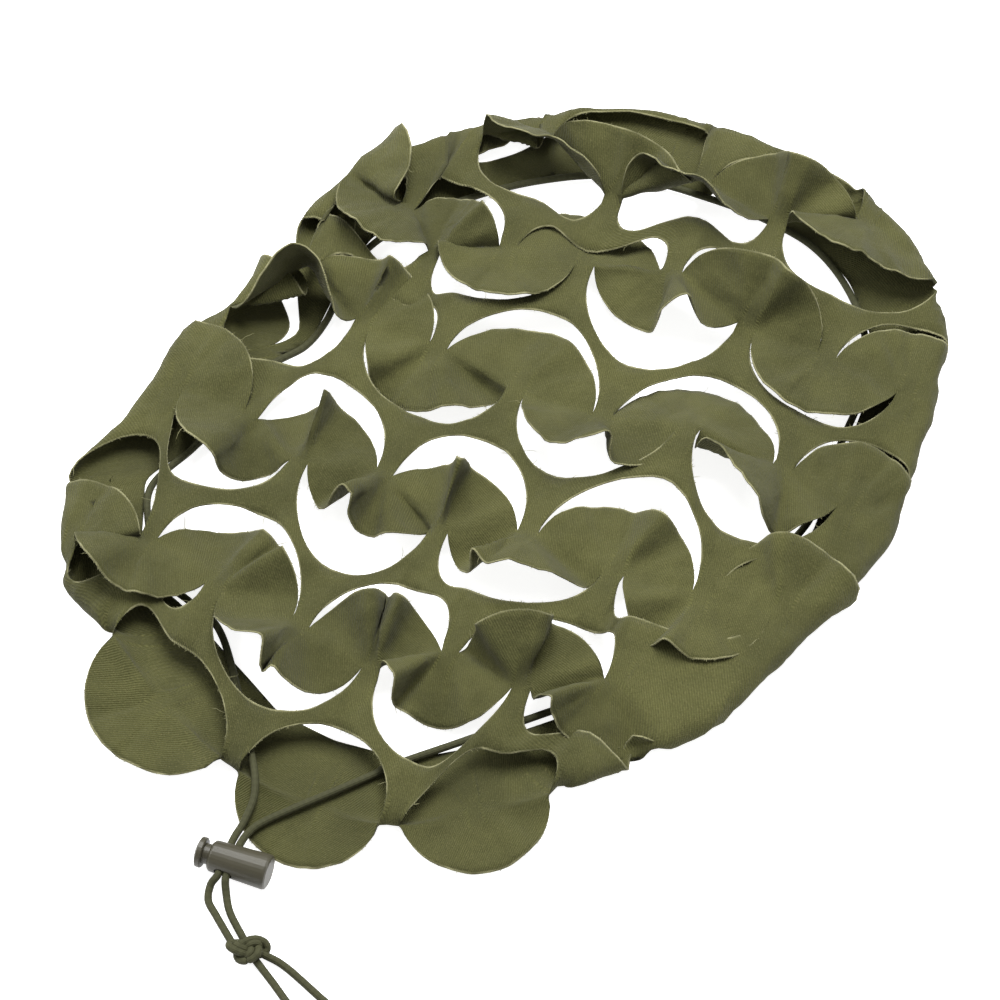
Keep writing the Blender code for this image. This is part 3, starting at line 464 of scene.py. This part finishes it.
# leaves that don't lie as the rest do. By kind and row: the leaf and its rays, lines from the root to the cut
# edge, each with its bearing seen from above and its rise, in degrees: anticlockwise from the right on an
# up leaf, from the left on a down leaf
RAYS = {
    ("up", 0): {
        -1: ((10, 0), (45, -4), (90, -6), (135, -4)),
        0: ((30, 30), (55, 34), (75, 30), (95, 36), (115, 30), (140, 20)),
        1: ((30, 10), (62, 16), (80, 40), (100, 44), (118, 20), (145, 8)),
    },
    ("down", 0): {
        -1: ((-150, 30), (-125, 42), (-95, 48), (-60, 44), (-35, 20)),
        0: ((-150, 40), (-120, 50), (-90, 52), (-60, 46), (-40, 24)),
        1: ((-150, 12), (-120, 24), (-85, 26), (-50, 14)),
    },
    ("up", 1): {
        -2: ((-20, 10), (10, 22), (50, 20), (90, 10), (130, 6)),
        -1: ((35, 8), (60, 24), (80, 8), (110, 4)),
        0: ((20, -8), (50, -14), (90, -16), (130, -8)),
        1: ((20, 6), (45, 20), (62, 48), (88, 40), (112, 44), (135, 22)),
        2: ((30, 0), (60, 1), (90, 2), (130, 3)),
    },
    ("down", 1): {
        -2: ((-150, 14), (-115, 26), (-80, 22), (-50, 10)),
        -1: ((-155, 6), (-125, 10), (-90, 12), (-50, 10)),
        0: ((-155, -4), (-132, -10), (-105, -12), (-84, -4), (-74, 22), (-58, 34), (-46, 10)),
        1: ((-150, 4), (-120, 8), (-85, 6), (-45, 8)),
    },
    ("up", 2): {
        -2: ((30, 10), (60, 14), (90, 10), (130, 4)),
        -1: ((26, 2), (50, 4), (76, 2), (92, 22), (104, 6), (124, 10), (142, 12)),
        0: ((23, 2), (47, 0), (76, 3), (105, -3), (136, -4)),
        1: ((40, -24), (77, -30), (110, -30), (150, -26)),
        2: ((30, 0), (60, 2), (90, 3), (130, 3)),
    },
    ("down", 2): {
        -1: ((-133, 3), (-126, -12), (-112, -16), (-95, -14), (-77, -2), (-60, 4), (-41, -3), (-14, -12)),
        0: ((-144, 17), (-120, 21), (-91, 36), (-61, 43), (-59, 20), (-29, 11)),
        1: ((-168, 5), (-166, 23), (-141, 42), (-122, 39), (-92, 28), (-81, 10), (-72, -1), (-55, 7)),
    },
    ("up", 3): {
        -2: ((30, 10), (60, 10), (90, 5), (130, 2)),
        -1: ((29, 0), (64, -6), (80, 0), (92, 26), (100, -4), (118, -14), (135, -12)),
        0: ((40, 6), (70, 3), (90, 8), (93, 38), (104, 6), (118, -4), (132, -2)),
        1: ((22, 2), (37, 0), (54, 0), (72, 14), (90, 2), (105, -4), (127, -3), (152, 3)),
        2: ((25, 4), (50, 8), (75, 8), (100, 16), (118, 20), (128, 6)),
    },
    ("down", 3): {
        -2: ((-150, 10), (-120, 22), (-93, 22), (-87, 0), (-78, -10), (-61, -12), (-46, -9), (-35, 0)),
        -1: ((-143, -5), (-131, -10), (-117, 2), (-113, 21), (-105, 37), (-95, 34), (-92, 18), (-85, 6),
            (-76, 0), (-68, 6), (-50, 0), (-33, -8)),
        0: ((-132, -9), (-113, 8), (-117, 28), (-104, 25), (-80, 37), (-67, 32), (-48, 23), (-17, -5)),
        1: ((-140, 9), (-125, -2), (-114, -2), (-93, 15), (-75, 5), (-45, 3)),
    },
    ("up", 4): {
        -2: ((30, 10), (60, 8), (90, 3), (130, 1)),
        -1: ((19, -3), (34, 8), (48, 16), (60, 2), (74, 8), (89, -8), (105, -14), (124, -12), (140, -4)),
        0: ((62, 0), (80, 4), (91, 28), (103, 4), (114, 30), (135, 8), (152, -2)),
        1: ((41, 8), (58, 6), (73, 2), (90, 0), (88, 34), (108, 38), (130, 38), (150, 34), (152, 4),
            (160, -8)),
    },
    ("down", 4): {
        -2: ((-150, 10), (-115, 24), (-90, 16), (-60, 6), (-35, 2)),
        -1: ((-161, 8), (-151, 17), (-131, 31), (-105, 44), (-93, 20), (-87, 26), (-75, 16), (-61, 4),
            (-47, -4), (-31, -5)),
        0: ((-135, 14), (-118, 22), (-108, -8), (-98, -4), (-88, -12), (-70, -16), (-49, -7), (-31, 0)),
        1: ((-143, -2), (-133, 19), (-124, 26), (-118, 14), (-105, 1), (-86, -4), (-73, -11), (-51, -16)),
    },
}
# free leaves keep on straight where the cloth round them turns under, and uncut ones were never cut out
FREE = {("up", leaf, 5) for leaf in (-1, 0, 1)}
UNCUT = {("down", leaf, 5) for leaf in (-2, -1, 0, 1)}
SHIFTS = {
    (kind, leaf, row): (dx / 1000, dy / 1000, rise / 1000)
    for (kind, row), joints in JOINTS.items() for leaf, dx, dy, rise in joints
}


def ease(t):
    return t * t * (3 - 2 * t)


def joint(kind, leaf, row):
    """Where a foot or a neck of the net lies: x, y and its height over the layer it is in."""
    is_foot = kind == "foot"
    even = FIRST + ALONG * (leaf + (0 if is_foot else 0.5)) + DOWN * row + (FOOT_DROP if is_foot else 0)
    return np.array((*even, 0)) + np.array(SHIFTS.get((kind, leaf, row), (0, 0, 0)))


def bearing_and_distance(x, y):
    return math.atan2(y - MIDDLE[1], x - MIDDLE[0]), math.hypot(x - MIDDLE[0], y - MIDDLE[1])


def past_fold(point):
    bearing, distance = bearing_and_distance(point[0], point[1])
    return distance - fold_reach(bearing)


def layer_height(inside):
    """Height of the upper layer, by its distance in from the fold."""
    at_fold = 2 * FOLD_RADIUS + FABRIC / 2
    return NET_HEIGHT + (at_fold - NET_HEIGHT) * (1 - ease(min(max(inside / SLOPE, 0), 1)))


def fold_under(point):
    """Lays a point of the open net on the surface: cloth past the fold line rolls round the fold and under."""
    bearing, distance = bearing_and_distance(point[0], point[1])
    reach = fold_reach(bearing)
    past, over = distance - reach, point[2]
    if past <= 0:
        return np.array((point[0], point[1], layer_height(-past) + over))
    past = min(past, TURNED_IN)
    turn = min(past / FOLD_RADIUS, math.pi)
    back = past - FOLD_RADIUS * turn
    out = reach + (FOLD_RADIUS + over) * math.sin(turn) - back
    height = layer_height(0) - FOLD_RADIUS + (FOLD_RADIUS + over) * math.cos(turn)
    return np.array((MIDDLE[0] + out * math.cos(bearing), MIDDLE[1] + out * math.sin(bearing), height))


def smooth_between(marks, values, places):
    """A smooth curve (Catmull-Rom, in Hermite form) through values at marks, read at places."""
    slopes = np.gradient(values, marks, axis=0)
    n = np.clip(np.searchsorted(marks, places) - 1, 0, len(marks) - 2)
    width = (marks[n + 1] - marks[n])[:, None]
    t = (places - marks[n])[:, None] / width
    rise = values[n + 1] - values[n]
    bend = (1 - t) * (slopes[n] * width - rise) + t * (rise - slopes[n + 1] * width)
    return values[n] + t * rise + t * (1 - t) * bend


class HangingLeaf:
    """A half-round leaf that fans out from its root, a foot or a neck, between the two joints beside it.

    Every line from the root stays straight. Where the table gives no rays and the pull on the net leaves
    the fan less than a half turn, the spare cloth stands up in one round pleat.
    """

    SAMPLES, STEEPEST_PLEAT = 181, 1.2
    SOFT_SWELL, SOFT_CREASE = 0.10, 0.045

    def __init__(self, kind, rays, free, root, right, left, facing=1):
        """Facing is -1 where the cloth lies face down, so that the leaf fans out the other way round."""
        self.free, self.root = free, root
        self.sign = 1 if kind == "up" else -1
        to_right, to_left = right - root, left - root
        self.stretch = np.linalg.norm(to_right) / HALF, np.linalg.norm(to_left) / HALF
        self.angles = np.linspace(0, math.pi, self.SAMPLES)
        if rays:
            self.directions = self.through_rays(to_right, to_left, rays)
        else:
            self.directions = self.with_pleat(to_right, to_left, facing)

    def through_rays(self, to_right, to_left, rays):
        """A smooth fan of directions through the two joints and the rays between them."""
        bearings, rises = np.radians(np.array(rays, float)).T
        level = np.cos(rises)
        lines = np.stack([level * np.cos(bearings), level * np.sin(bearings), np.sin(rises)], axis=1)
        lines = np.concatenate([[to_right], lines, [to_left]])
        lines /= np.linalg.norm(lines, axis=1)[:, None]
        turns = np.arccos(np.clip((lines[1:] * lines[:-1]).sum(axis=1), -1, 1))
        marks = np.concatenate([[0], np.cumsum(turns)]) * math.pi / turns.sum()
        return self.softened(smooth_between(marks, lines, self.angles))

    def with_pleat(self, to_right, to_left, facing):
        start = math.atan2(to_right[1], to_right[0])
        room = (math.atan2(to_left[1], to_left[0]) - start) * facing % (2 * math.pi)
        outline = np.sin(self.angles) ** 2
        low, high = 0.0, self.STEEPEST_PLEAT
        for _ in range(0 if self.free else 24):
            middle = (low + high) / 2
            low, high = (middle, high) if self.fan(middle * outline)[-1] > room else (low, middle)
        lift = low * outline
        turned = self.fan(lift)
        turned = start + facing * turned * room / turned[-1]
        share, level = self.angles / math.pi, np.cos(lift)
        climb = to_right[2] / HALF * (1 - share) ** 6 + to_left[2] / HALF * share**6
        lines = [level * np.cos(turned), level * np.sin(turned), np.sin(lift) + climb]
        return self.softened(np.stack(lines, axis=1))

    def fan(self, lift):
        """The turn seen from above at each angle of the flat leaf, when its lines rise by lift."""
        rate = np.sqrt(np.maximum(1 - np.gradient(lift, self.angles) ** 2, 0.02)) / np.cos(lift)
        return np.concatenate([[0], np.cumsum((rate[1:] + rate[:-1]) / 2) * (self.angles[1] - self.angles[0])])

    def place(self, along, up):
        """Where a point of the flat leaf lies, in the space of its joints."""
        along, up = along * self.sign, max(up * self.sign, 0)
        angle = math.atan2(up, along)
        near = abs(math.cos(angle)) ** 3
        length = math.hypot(along, up) * (1 + (self.stretch[0 if along > 0 else 1] - 1) * near)
        direction = [np.interp(angle, self.angles, self.directions[:, axis]) for axis in range(3)]
        return self.root + length * np.array(direction)

    def softened(self, lines):
        """Small soft pleats, which fan out from the root as all folds in such a leaf do."""
        phase = (self.root[0] * 91 + self.root[1] * 57, self.root[1] * 83, 3.0 * self.sign)
        for n, angle in enumerate(self.angles):
            swell = noise.noise(Vector((phase[0] + angle * 1.9, phase[1], phase[2])))
            crease = noise.noise(Vector((phase[0] + angle * 5.5, phase[1] + 7, phase[2])))
            soft = self.SOFT_SWELL * swell + self.SOFT_CREASE * crease
            lines[n, 2] += soft * math.sin(angle) ** 0.7
        return lines / np.linalg.norm(lines, axis=1)[:, None]


class CutCloth:
    """The middle surface of the cloth. A point of it is named by row, column and step.

    Columns run from a foot (0) to the neck beside it (half_columns), closer together near both, because
    the cuts stand upright there.
    """

    ROWS = range(-1, 7)
    LEAVES = range(-4, 4)

    def __init__(self, cut_steps, leaf_steps, web_steps):
        spread = (HALF - 2 * JOIN) / 2
        inner = [JOIN + spread * (1 - math.cos(math.pi * t / cut_steps)) for t in range(cut_steps + 1)]
        self.offsets = [0, *inner, HALF]
        self.half_columns = len(self.offsets) - 1
        self.leaf_steps, self.web_steps = leaf_steps, web_steps
        self.points, self.flat, self.past, self.index, self.leaves = [], [], [], {}, {}
        self.faces = []
        for row in self.ROWS:
            first, last = (2 * self.half_columns * i for i in (self.LEAVES[0], self.LEAVES[-1] + 1))
            for column in range(first, last):
                self.add_column(row, column)

    def side(self, column):
        """The leaf that a column is in, the foot nearest to it, and how far it is from that foot."""
        leaf, offset = divmod(column, 2 * self.half_columns)
        if offset <= self.half_columns:
            return leaf, leaf, self.offsets[offset]
        return leaf, leaf + 1, self.offsets[2 * self.half_columns - offset]

    def along(self, column):
        leaf, foot, offset = self.side(column)
        return foot * PITCH + (offset if foot == leaf else -offset)

    def cut_height(self, kind, column):
        """How far a cut stands from its row's midline at this column."""
        offset = self.side(column)[2] if kind == "up" else HALF - self.side(column)[2]
        return math.sqrt(CUT_RADIUS**2 - offset**2) if offset < CUT_RADIUS - 1e-9 else 0

    def is_cut(self, kind, leaf, row):
        name = kind, leaf, row
        if name in UNCUT or name in FREE or leaf in RAYS.get((kind, row), ()):
            return name not in UNCUT
        return past_fold(joint("foot" if kind == "up" else "neck", leaf, row)) < CUT_REACH

    def midline(self, row, column):
        leaf, foot, offset = self.side(column)
        start, end = joint("foot", foot, row), joint("neck", leaf, row)
        return start + (end - start) * offset / HALF

    def web_place(self, row, column, v):
        """The web below a row hangs from its feet and holds the necks of the next row."""
        leaf, foot, offset = self.side(column)
        top, bottom = joint("foot", foot, row), joint("neck", leaf, row + 1)
        from_top = top + np.array((self.along(column) - foot * PITCH, v + row * ROW, 0))
        from_bottom = bottom + np.array((self.along(column) - (leaf + 0.5) * PITCH, v + (row + 1) * ROW, 0))
        return from_top + (from_bottom - from_top) * ease(offset / HALF)

    def add(self, name, column, v, point, laid=None):
        if name not in self.index:
            laid = fold_under(point) if laid is None else laid
            self.index[name] = len(self.points)
            self.points.append((laid[0], laid[1], max(laid[2], TWILL / 2)))
            self.flat.append((self.along(column), v))
            self.past.append(past_fold(point))
        return self.index[name]

    def middle_point(self, row, column):
        return self.add(("middle", row, column), column, -row * ROW, self.midline(row, column))

    def leaf_point(self, kind, row, column, step):
        """A point of a leaf: step 0 is on the midline, the last step is on the cut."""
        height = self.cut_height(kind, column)
        if step == 0 or height == 0:
            return self.middle_point(row, column)
        name = (kind, row, column, step)
        if name in self.index:
            return self.index[name]
        leaf, foot, _ = self.side(column)
        leaf = foot if kind == "up" else leaf
        sign, web_row = (1, row - 1) if kind == "up" else (-1, row)
        up = sign * height * step / self.leaf_steps
        v = -row * ROW + up
        if not self.is_cut(kind, leaf, row):
            start, end = self.midline(row, column), self.web_place(web_row, column, -row * ROW + sign * height)
            return self.add(name, column, v, start + (end - start) * step / self.leaf_steps)
        in_net, as_laid = self.hanging_leaf(kind, leaf, row)
        along = self.along(column) - (leaf if kind == "up" else leaf + 0.5) * PITCH
        place = in_net.place(along, up)
        laid = fold_under(place)
        straight = in_net.free * ease(min(abs(up) / FREE_FROM, 1))
        laid = laid + (as_laid.place(along, up) - laid) * straight
        return self.add(name, column, v, place, laid)

    def hanging_leaf(self, kind, leaf, row):
        """The leaf between its joints in the open net, and between the same joints once they are laid down."""
        if (kind, leaf, row) not in self.leaves:
            rays, free = RAYS.get((kind, row), {}).get(leaf), (kind, leaf, row) in FREE
            if kind == "up":
                joints = joint("foot", leaf, row), joint("neck", leaf, row), joint("neck", leaf - 1, row)
            else:
                joints = joint("neck", leaf, row), joint("foot", leaf, row), joint("foot", leaf + 1, row)
            facing = 1 if past_fold(joints[0]) < FOLD_RADIUS * math.pi / 2 else -1
            laid = [fold_under(place) for place in joints]
            self.leaves[kind, leaf, row] = (
                HangingLeaf(kind, rays, free, *joints), HangingLeaf(kind, rays, free, *laid, facing)
            )
        return self.leaves[kind, leaf, row]

    def web_point(self, row, column, step):
        """A point of the web below a row: step 0 is its upper edge, the last step its lower edge."""
        leaf, foot, _ = self.side(column)
        upper, lower = self.cut_height("down", column), self.cut_height("up", column)
        if step == 0 and (upper == 0 or not self.is_cut("down", leaf, row)):
            return self.leaf_point("down", row, column, self.leaf_steps)
        if step == self.web_steps and (lower == 0 or not self.is_cut("up", foot, row + 1)):
            return self.leaf_point("up", row + 1, column, self.leaf_steps)
        top, bottom = -row * ROW - upper, -(row + 1) * ROW + lower
        v = top + (bottom - top) * step / self.web_steps
        return self.add(("web", row, column, step), column, v, self.web_place(row, column, v))

    def add_face(self, point, column, step, upwards=False):
        """The face between two columns and two steps, which narrows to a triangle or nothing at a joint."""
        near = [point(column + n, step) for n in (0, 1)]
        far = [point(column + n, step + 1) for n in (0, 1)]
        low, high = (near, far) if upwards else (far, near)
        corners = (*low, *high[::-1])
        ring = [corner for n, corner in enumerate(corners) if corner != corners[n - 1]]
        if len(set(ring)) > 2 and min(self.past[corner] for corner in ring) < TURNED_IN:
            self.faces.append(ring)

    def add_column(self, row, column):
        for step in range(self.leaf_steps):
            for kind in ("up", "down"):
                if self.cut_height(kind, column) or self.cut_height(kind, column + 1):
                    self.add_face(lambda at, n: self.leaf_point(kind, row, at, n), column, step, kind == "up")
        for step in range(self.web_steps):
            self.add_face(lambda at, n: self.web_point(row, at, n), column, step)


def facing_of(points, thirds):
    """The normal of each triangle, as long as twice its area."""
    a, b, c = (points[[third[n] for third in thirds]] for n in range(3))
    return np.cross(b - a, c - a)


def halved(points, faces):
    """Triangles of the faces, each four-sided one cut along the diagonal that bends it less."""
    flat = [face for face in faces if len(face) == 3]
    four = [face for face in faces if len(face) == 4]
    cuts = [[[(f[n], f[n + 1], f[n + 2]), (f[n], f[n + 2], f[n - 1])] for f in four] for n in (0, 1)]
    bends = []
    for cut in cuts:
        sides = [facing_of(points, [pair[n] for pair in cut]) for n in (0, 1)]
        sides = [side / (np.linalg.norm(side, axis=1)[:, None] + 1e-15) for side in sides]
        bends.append((sides[0] * sides[1]).sum(axis=1))
    for first, second, less in zip(*cuts, bends[0] >= bends[1]):
        flat += first if less else second
    return flat


def normals_of(points, thirds):
    """Unit normals of a mesh of triangles, by vertex."""
    normals = np.zeros_like(points)
    facing = facing_of(points, thirds)
    for corner in range(3):
        np.add.at(normals, [third[corner] for third in thirds], facing)
    return normals / (np.linalg.norm(normals, axis=1)[:, None] + 1e-15)


def off_joints(flat):
    """0 at the joints of the flat net, 1 well away from them."""
    beside = np.abs((flat[:, 0] + HALF / 2) % HALF - HALF / 2)
    over = np.abs((flat[:, 1] + ROW / 2) % ROW - ROW / 2)
    return np.clip((np.hypot(beside, over) - JOIN) / CALM_ROUND_JOINTS, 0, 1)


def edges_of(faces):
    """Every point of a mesh with each point beside it, as two rows, and the open edges as their faces run."""
    edges = {(face[n - 1], face[n]) for face in faces for n in range(len(face))}
    beside = np.array(sorted(edges | {edge[::-1] for edge in edges})).T
    return beside, sorted(edge for edge in edges if edge[::-1] not in edges)


def evened(values, beside, share, rounds):
    """Values at the points of a mesh, each drawn towards the mean of those beside it."""
    count = np.bincount(beside[0], minlength=len(values))[:, None]
    for _ in range(rounds):
        total = np.zeros_like(values)
        np.add.at(total, beside[0], values[beside[1]])
        values = values + share * (total / count - values)
    return values


def soft_normals(points, faces, beside):
    normals = evened(normals_of(points, halved(points, faces)), beside, 0.5, NORMAL_ROUNDS)
    return normals / np.linalg.norm(normals, axis=1)[:, None]


def crumple(points, flat, normals):
    """How far each point of the cloth stands off along its normal."""
    found = np.zeros(len(points))
    for n, (x, y) in enumerate(flat):
        found[n] = DENT * noise.noise(Vector((x * 30, y * 30, 1.5)))
        found[n] += RIDGE * (0.5 - abs(noise.noise(Vector((x * 48 + 5, y * 48, 4.5)))) * 2)
        found[n] += CREASE * (0.5 - abs(noise.noise(Vector((x * 88 + 3, y * 62, 2.5)))) * 2)
        found[n] += RIPPLE * noise.noise(Vector((x * 210, y * 210, 9.0)))
    # a quarter of it where the cloth lies on the floor, and none where it lies face down there
    lifted = np.clip((points[:, 2] - TWILL) / 0.004, 0, 1)
    return found * np.where(normals[:, 2] > -0.5, 1, lifted) * (0.25 + 0.75 * lifted) * off_joints(flat)


def laid_cloth():
    """The cover's middle surface: points, faces, and each point's place on the flat cloth and past the fold."""
    cloth = CutCloth(CUT_STEPS, LEAF_STEPS, WEB_STEPS)
    used = sorted({corner for face in cloth.faces for corner in face})
    renumber = {old: new for new, old in enumerate(used)}
    faces = [tuple(renumber[corner] for corner in face) for face in cloth.faces]
    points, flat, past = (np.array(values)[used] for values in (cloth.points, cloth.flat, cloth.past))
    beside, cut_edges = edges_of(faces)
    share = (1 - off_joints(flat))[:, None] / 2
    share[np.ravel(cut_edges)] = 0
    points = evened(points, beside, share, EASING_ROUNDS)
    normals = soft_normals(points, faces, beside)
    points = points + normals * crumple(points, flat, normals)[:, None]
    points[:, 2] = np.maximum(points[:, 2], TWILL / 2 + 0.0001)
    return points - (*ORIGIN, 0), faces, flat, past


cloth_points, cloth_faces, cloth_flat, cloth_past = laid_cloth()
cloth_thirds = halved(cloth_points, cloth_faces)
cloth_beside, raw_edges = edges_of(cloth_faces)
cloth_normals = soft_normals(cloth_points, cloth_faces, cloth_beside)
cloth_frayed = np.zeros(len(cloth_points))
cloth_frayed[np.ravel(raw_edges)] = 1.0
cloth_frayed *= off_joints(cloth_flat)


def twill():
    """Olive drab cotton twill: fine diagonal ribs with painted shade in their grooves, uneven yarn, faded
    patches, and pale raw edges.
    """
    cloth = Recipe("olive cotton twill", Specular_IOR_Level=0.2, Sheen_Weight=0.05, Sheen_Roughness=0.5)
    flat = cloth.node("UVMap", {"uv_map": "UVMap"})
    across, down, _ = cloth.parts_of(flat)
    place = cloth.node("TexCoord", output=3)
    weft_wander = cloth.noise(flat, 60.0, 2.0)
    rib = ((across * 0.80 + down * 0.60 + weft_wander * 0.0005) * (math.tau / RIB_PITCH)).sine() * 0.5 + 0.5
    yarn = ((down * 0.80 - across * 0.60) * (math.tau / YARN_PITCH)).sine() * 0.5 + 0.5
    slub = cloth.noise(cloth.node("Mapping", {}, {"Vector": flat, "Scale": (1.0, 9.0, 1.0)}), 260.0, 2.0)
    fade = cloth.noise(place, 14.0, 3.0)
    blotch = cloth.noise(place, 55.0, 4.0, 0.6)
    tone = fade.clamped(0.30, 0.72) * 0.5 + blotch.clamped(0.32, 0.70) * 0.3 + slub * 0.2
    colour = cloth.mix(tone, TWILL_DARK, TWILL_LIGHT)
    speckle = cloth.noise(flat, 1500.0, 2.0, 0.7)
    colour = cloth.mix(speckle.clamped(0.52, 0.68) * 0.50, colour, TWILL_FLECK)
    # painted shade in the grooves between the ribs and the yarns, plus dark specks of uneven yarn at random
    groove_shade_and_speckle = (1 - rib) * 0.36 + (1 - yarn) * 0.08 + speckle.clamped(0.50, 0.30) * 0.40
    colour = cloth.mix(groove_shade_and_speckle, colour, TWILL_SHADE_AND_SPECKLE)
    # how far a point of the flat cloth is from the nearest cut, from the way that the cuts repeat
    x, y = across % PITCH, down % ROW
    up_centre = (x - HALF).size() * -1 + HALF
    down_centre = (x - HALF).size()
    from_up = ((up_centre ** 2 + y ** 2) ** 0.5 - CUT_RADIUS).size()
    from_down = ((down_centre ** 2 + (ROW - y) ** 2) ** 0.5 - CUT_RADIUS).size()
    nearest = cloth.node("Math", {"operation": "MINIMUM"}, {0: from_up, 1: from_down})
    wear = cloth.noise(flat, 900.0, 2.0)
    frayed = cloth.node("Attribute", {"attribute_name": "frayed"}, output=2).clamped(0.4, 0.9)
    edge = (1 - (nearest + wear * 0.0006).clamped(0.0005, 0.0013)) * frayed
    worn = cloth.noise(flat, 75.0, 2.0).clamped(0.36, 0.62)
    colour = cloth.mix(edge * (worn * 0.62 + 0.18), colour, RAW_EDGE)
    rumple = cloth.noise(flat, 95.0, 4.0, 0.6)
    weave = rib * 0.7 + yarn * 0.3 + slub * 0.5 + edge * wear * 1.5 + rumple * 6.0
    return cloth.finish(Base_Color=colour, Roughness=0.95 - edge * 0.05, Normal=cloth.bump(weave, 0.00026))


TWILL_FINISH = twill()


def cover_piece():
    """The cloth with its thickness: two skins and the raw rim between them."""
    count = len(cloth_points)
    half = cloth_normals * TWILL / 2
    vertices = np.concatenate([cloth_points + half, cloth_points - half])
    faces = cloth_thirds + [tuple(corner + count for corner in third[::-1]) for third in cloth_thirds]
    faces += [(b, a, a + count, b + count) for a, b in raw_edges]
    corners = [[tuple(cloth_flat[corner % count]) for corner in face] for face in faces]
    piece = mesh_piece("cover_cloth", vertices, faces, corners, TWILL_FINISH)
    mark = piece.data.attributes.new("frayed", "FLOAT", "POINT")
    mark.data.foreach_set("value", np.concatenate([cloth_frayed, cloth_frayed]))
    return piece


cover = cover_piece()
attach(cover, "cover")
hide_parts("cover")


# ---------------- frayed threads
# Where the twill was cut, the ends of its yarns stand out as a pale fringe, and here and there a longer
# yarn has worked loose and curls off the edge.
THREAD_SPACING, THREAD_RADIUS, THREAD_COLOUR = 0.0010, 0.00013, (0.27, 0.26, 0.15)
FRINGE = (0.0004, 0.0005, 0.0006, 0.0008, 0.0011, 0.0016)  # how far its threads stand out
LOOSE_SHARE, LOOSE_SHORTEST, LOOSE_MORE = 0.016, 0.003, 0.006  # of the longer yarns


def raw_cotton():
    cotton = Recipe("raw cotton thread", Roughness=0.9, Specular_IOR_Level=0.15)
    shade = cotton.noise(cotton.node("TexCoord", output=3), 240.0)
    return cotton.finish(Base_Color=cotton.mix(shade, TWILL_LIGHT, THREAD_COLOUR))


def frayed_threads():
    draw = random.Random(11)
    vertices, faces, corners = [], [], []
    for a, b in raw_edges:
        if cloth_past[a] > 0.012 or min(cloth_frayed[a], cloth_frayed[b]) < 0.4:
            continue
        start, end = cloth_points[a], cloth_points[b]
        way = end - start
        length = np.linalg.norm(way)
        way = way / length
        out = np.cross(way, (cloth_normals[a] + cloth_normals[b]) / 2)
        normal = cloth_normals[a]
        worn = 0.45 + 2.2 * max(0, noise.noise(Vector(start) * 60))
        count = int(length / THREAD_SPACING * worn + draw.random())
        for _ in range(count):
            reach, bends = draw.choice(FRINGE) * (0.7 + 0.6 * draw.random()), 2
            if draw.random() < LOOSE_SHARE:
                reach, bends = LOOSE_SHORTEST + LOOSE_MORE * draw.random() ** 2, 5
            point = start + way * length * draw.random() - out * TWILL / 2
            heading = out * (0.5 + 0.6 * draw.random())
            heading = heading + way * draw.uniform(-1.1, 1.1) + normal * draw.uniform(-0.35, 0.5)
            line = [point]
            for _ in range(bends):
                heading = heading / np.linalg.norm(heading)
                point = point + heading * reach / bends
                point[2] = max(point[2], THREAD_RADIUS * 1.5)
                line.append(point.copy())
                heading = heading + way * draw.uniform(-0.7, 0.7) + normal * draw.uniform(-0.6, 0.5)
            add_thread(vertices, faces, corners, line)
    return mesh_piece("frayed_threads", vertices, faces, corners, raw_cotton())


def add_thread(vertices, faces, corners, line):
    """A three-sided yarn end that narrows to its tip."""
    heading = line[-1] - line[0]
    side = np.cross(heading, (0.31, 0.17, 0.93))
    side /= np.linalg.norm(side) + 1e-12
    up = np.cross(side, heading / (np.linalg.norm(heading) + 1e-12))
    start = len(vertices)
    for n, point in enumerate(line[:-1]):
        radius = THREAD_RADIUS * (1 - 0.5 * n / len(line))
        for k in range(3):
            turn = 2 * math.pi * k / 3
            vertices.append(point + (side * math.cos(turn) + up * math.sin(turn)) * radius)
    vertices.append(line[-1])
    tip = len(vertices) - 1
    for n in range(len(line) - 2):
        for k in range(3):
            m = (k + 1) % 3
            low, high = start + 3 * n, start + 3 * n + 3
            faces.append((low + k, high + k, high + m, low + m))
    last = start + 3 * (len(line) - 2)
    for k in range(3):
        faces.append((last + k, tip, last + (k + 1) % 3))
    faces.append((start, start + 1, start + 2))
    corners.extend([((0, 0),) * len(face) for face in faces[len(corners):]])


threads = frayed_threads()
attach(threads, "cover")


# ---------------- floor and lights
# A pale seamless floor under large soft lights, so that shadows are faint and wide. The floor also glows white,
# a painted light that keeps it pale where the cover shades it and adds a little light from below.
floor_mesh = bpy.data.meshes.new("floor")
floor_mesh.from_pydata([(-6, -6, 0), (6, -6, 0), (6, 6, 0), (-6, 6, 0)], [], [(0, 1, 2, 3)])
floor = bpy.data.objects.new("floor", floor_mesh)
bpy.context.scene.collection.objects.link(floor)
WHITE, FLOOR_GREY = (1, 1, 1, 1), (0.65, 0.65, 0.65, 1)
# the floor's emission is painted light: it glows so that its shadows stay faint
floor.data.materials.append(Recipe(
    "pale floor", Base_Color=FLOOR_GREY, Roughness=0.9, Emission_Color=WHITE, Emission_Strength=0.85
).material)
floor.location.z = -0.0002

world = bpy.data.worlds.new("studio")
bpy.context.scene.world = world
world.use_nodes = True
backdrop = world.node_tree.nodes["Background"]
backdrop.inputs["Color"].default_value, backdrop.inputs["Strength"].default_value = WHITE, 0.38

for light_name, place, size, power in (
    ("overhead softbox", (-0.1, 0.5, 1.5), 1.0, 57),
    ("left softbox", (-1.5, -0.3, 1.1), 0.9, 22),
    ("right fill", (1.4, -0.9, 1.0), 1.2, 6),
):
    light = bpy.data.objects.new(light_name, bpy.data.lights.new(light_name, "AREA"))
    light.data.size, light.data.energy = size, power
    light.location = place
    light.rotation_euler = Vector(place).to_track_quat("Z", "Y").to_euler()
    bpy.context.scene.collection.objects.link(light)
bpy.context.scene.view_settings.view_transform = "Standard"
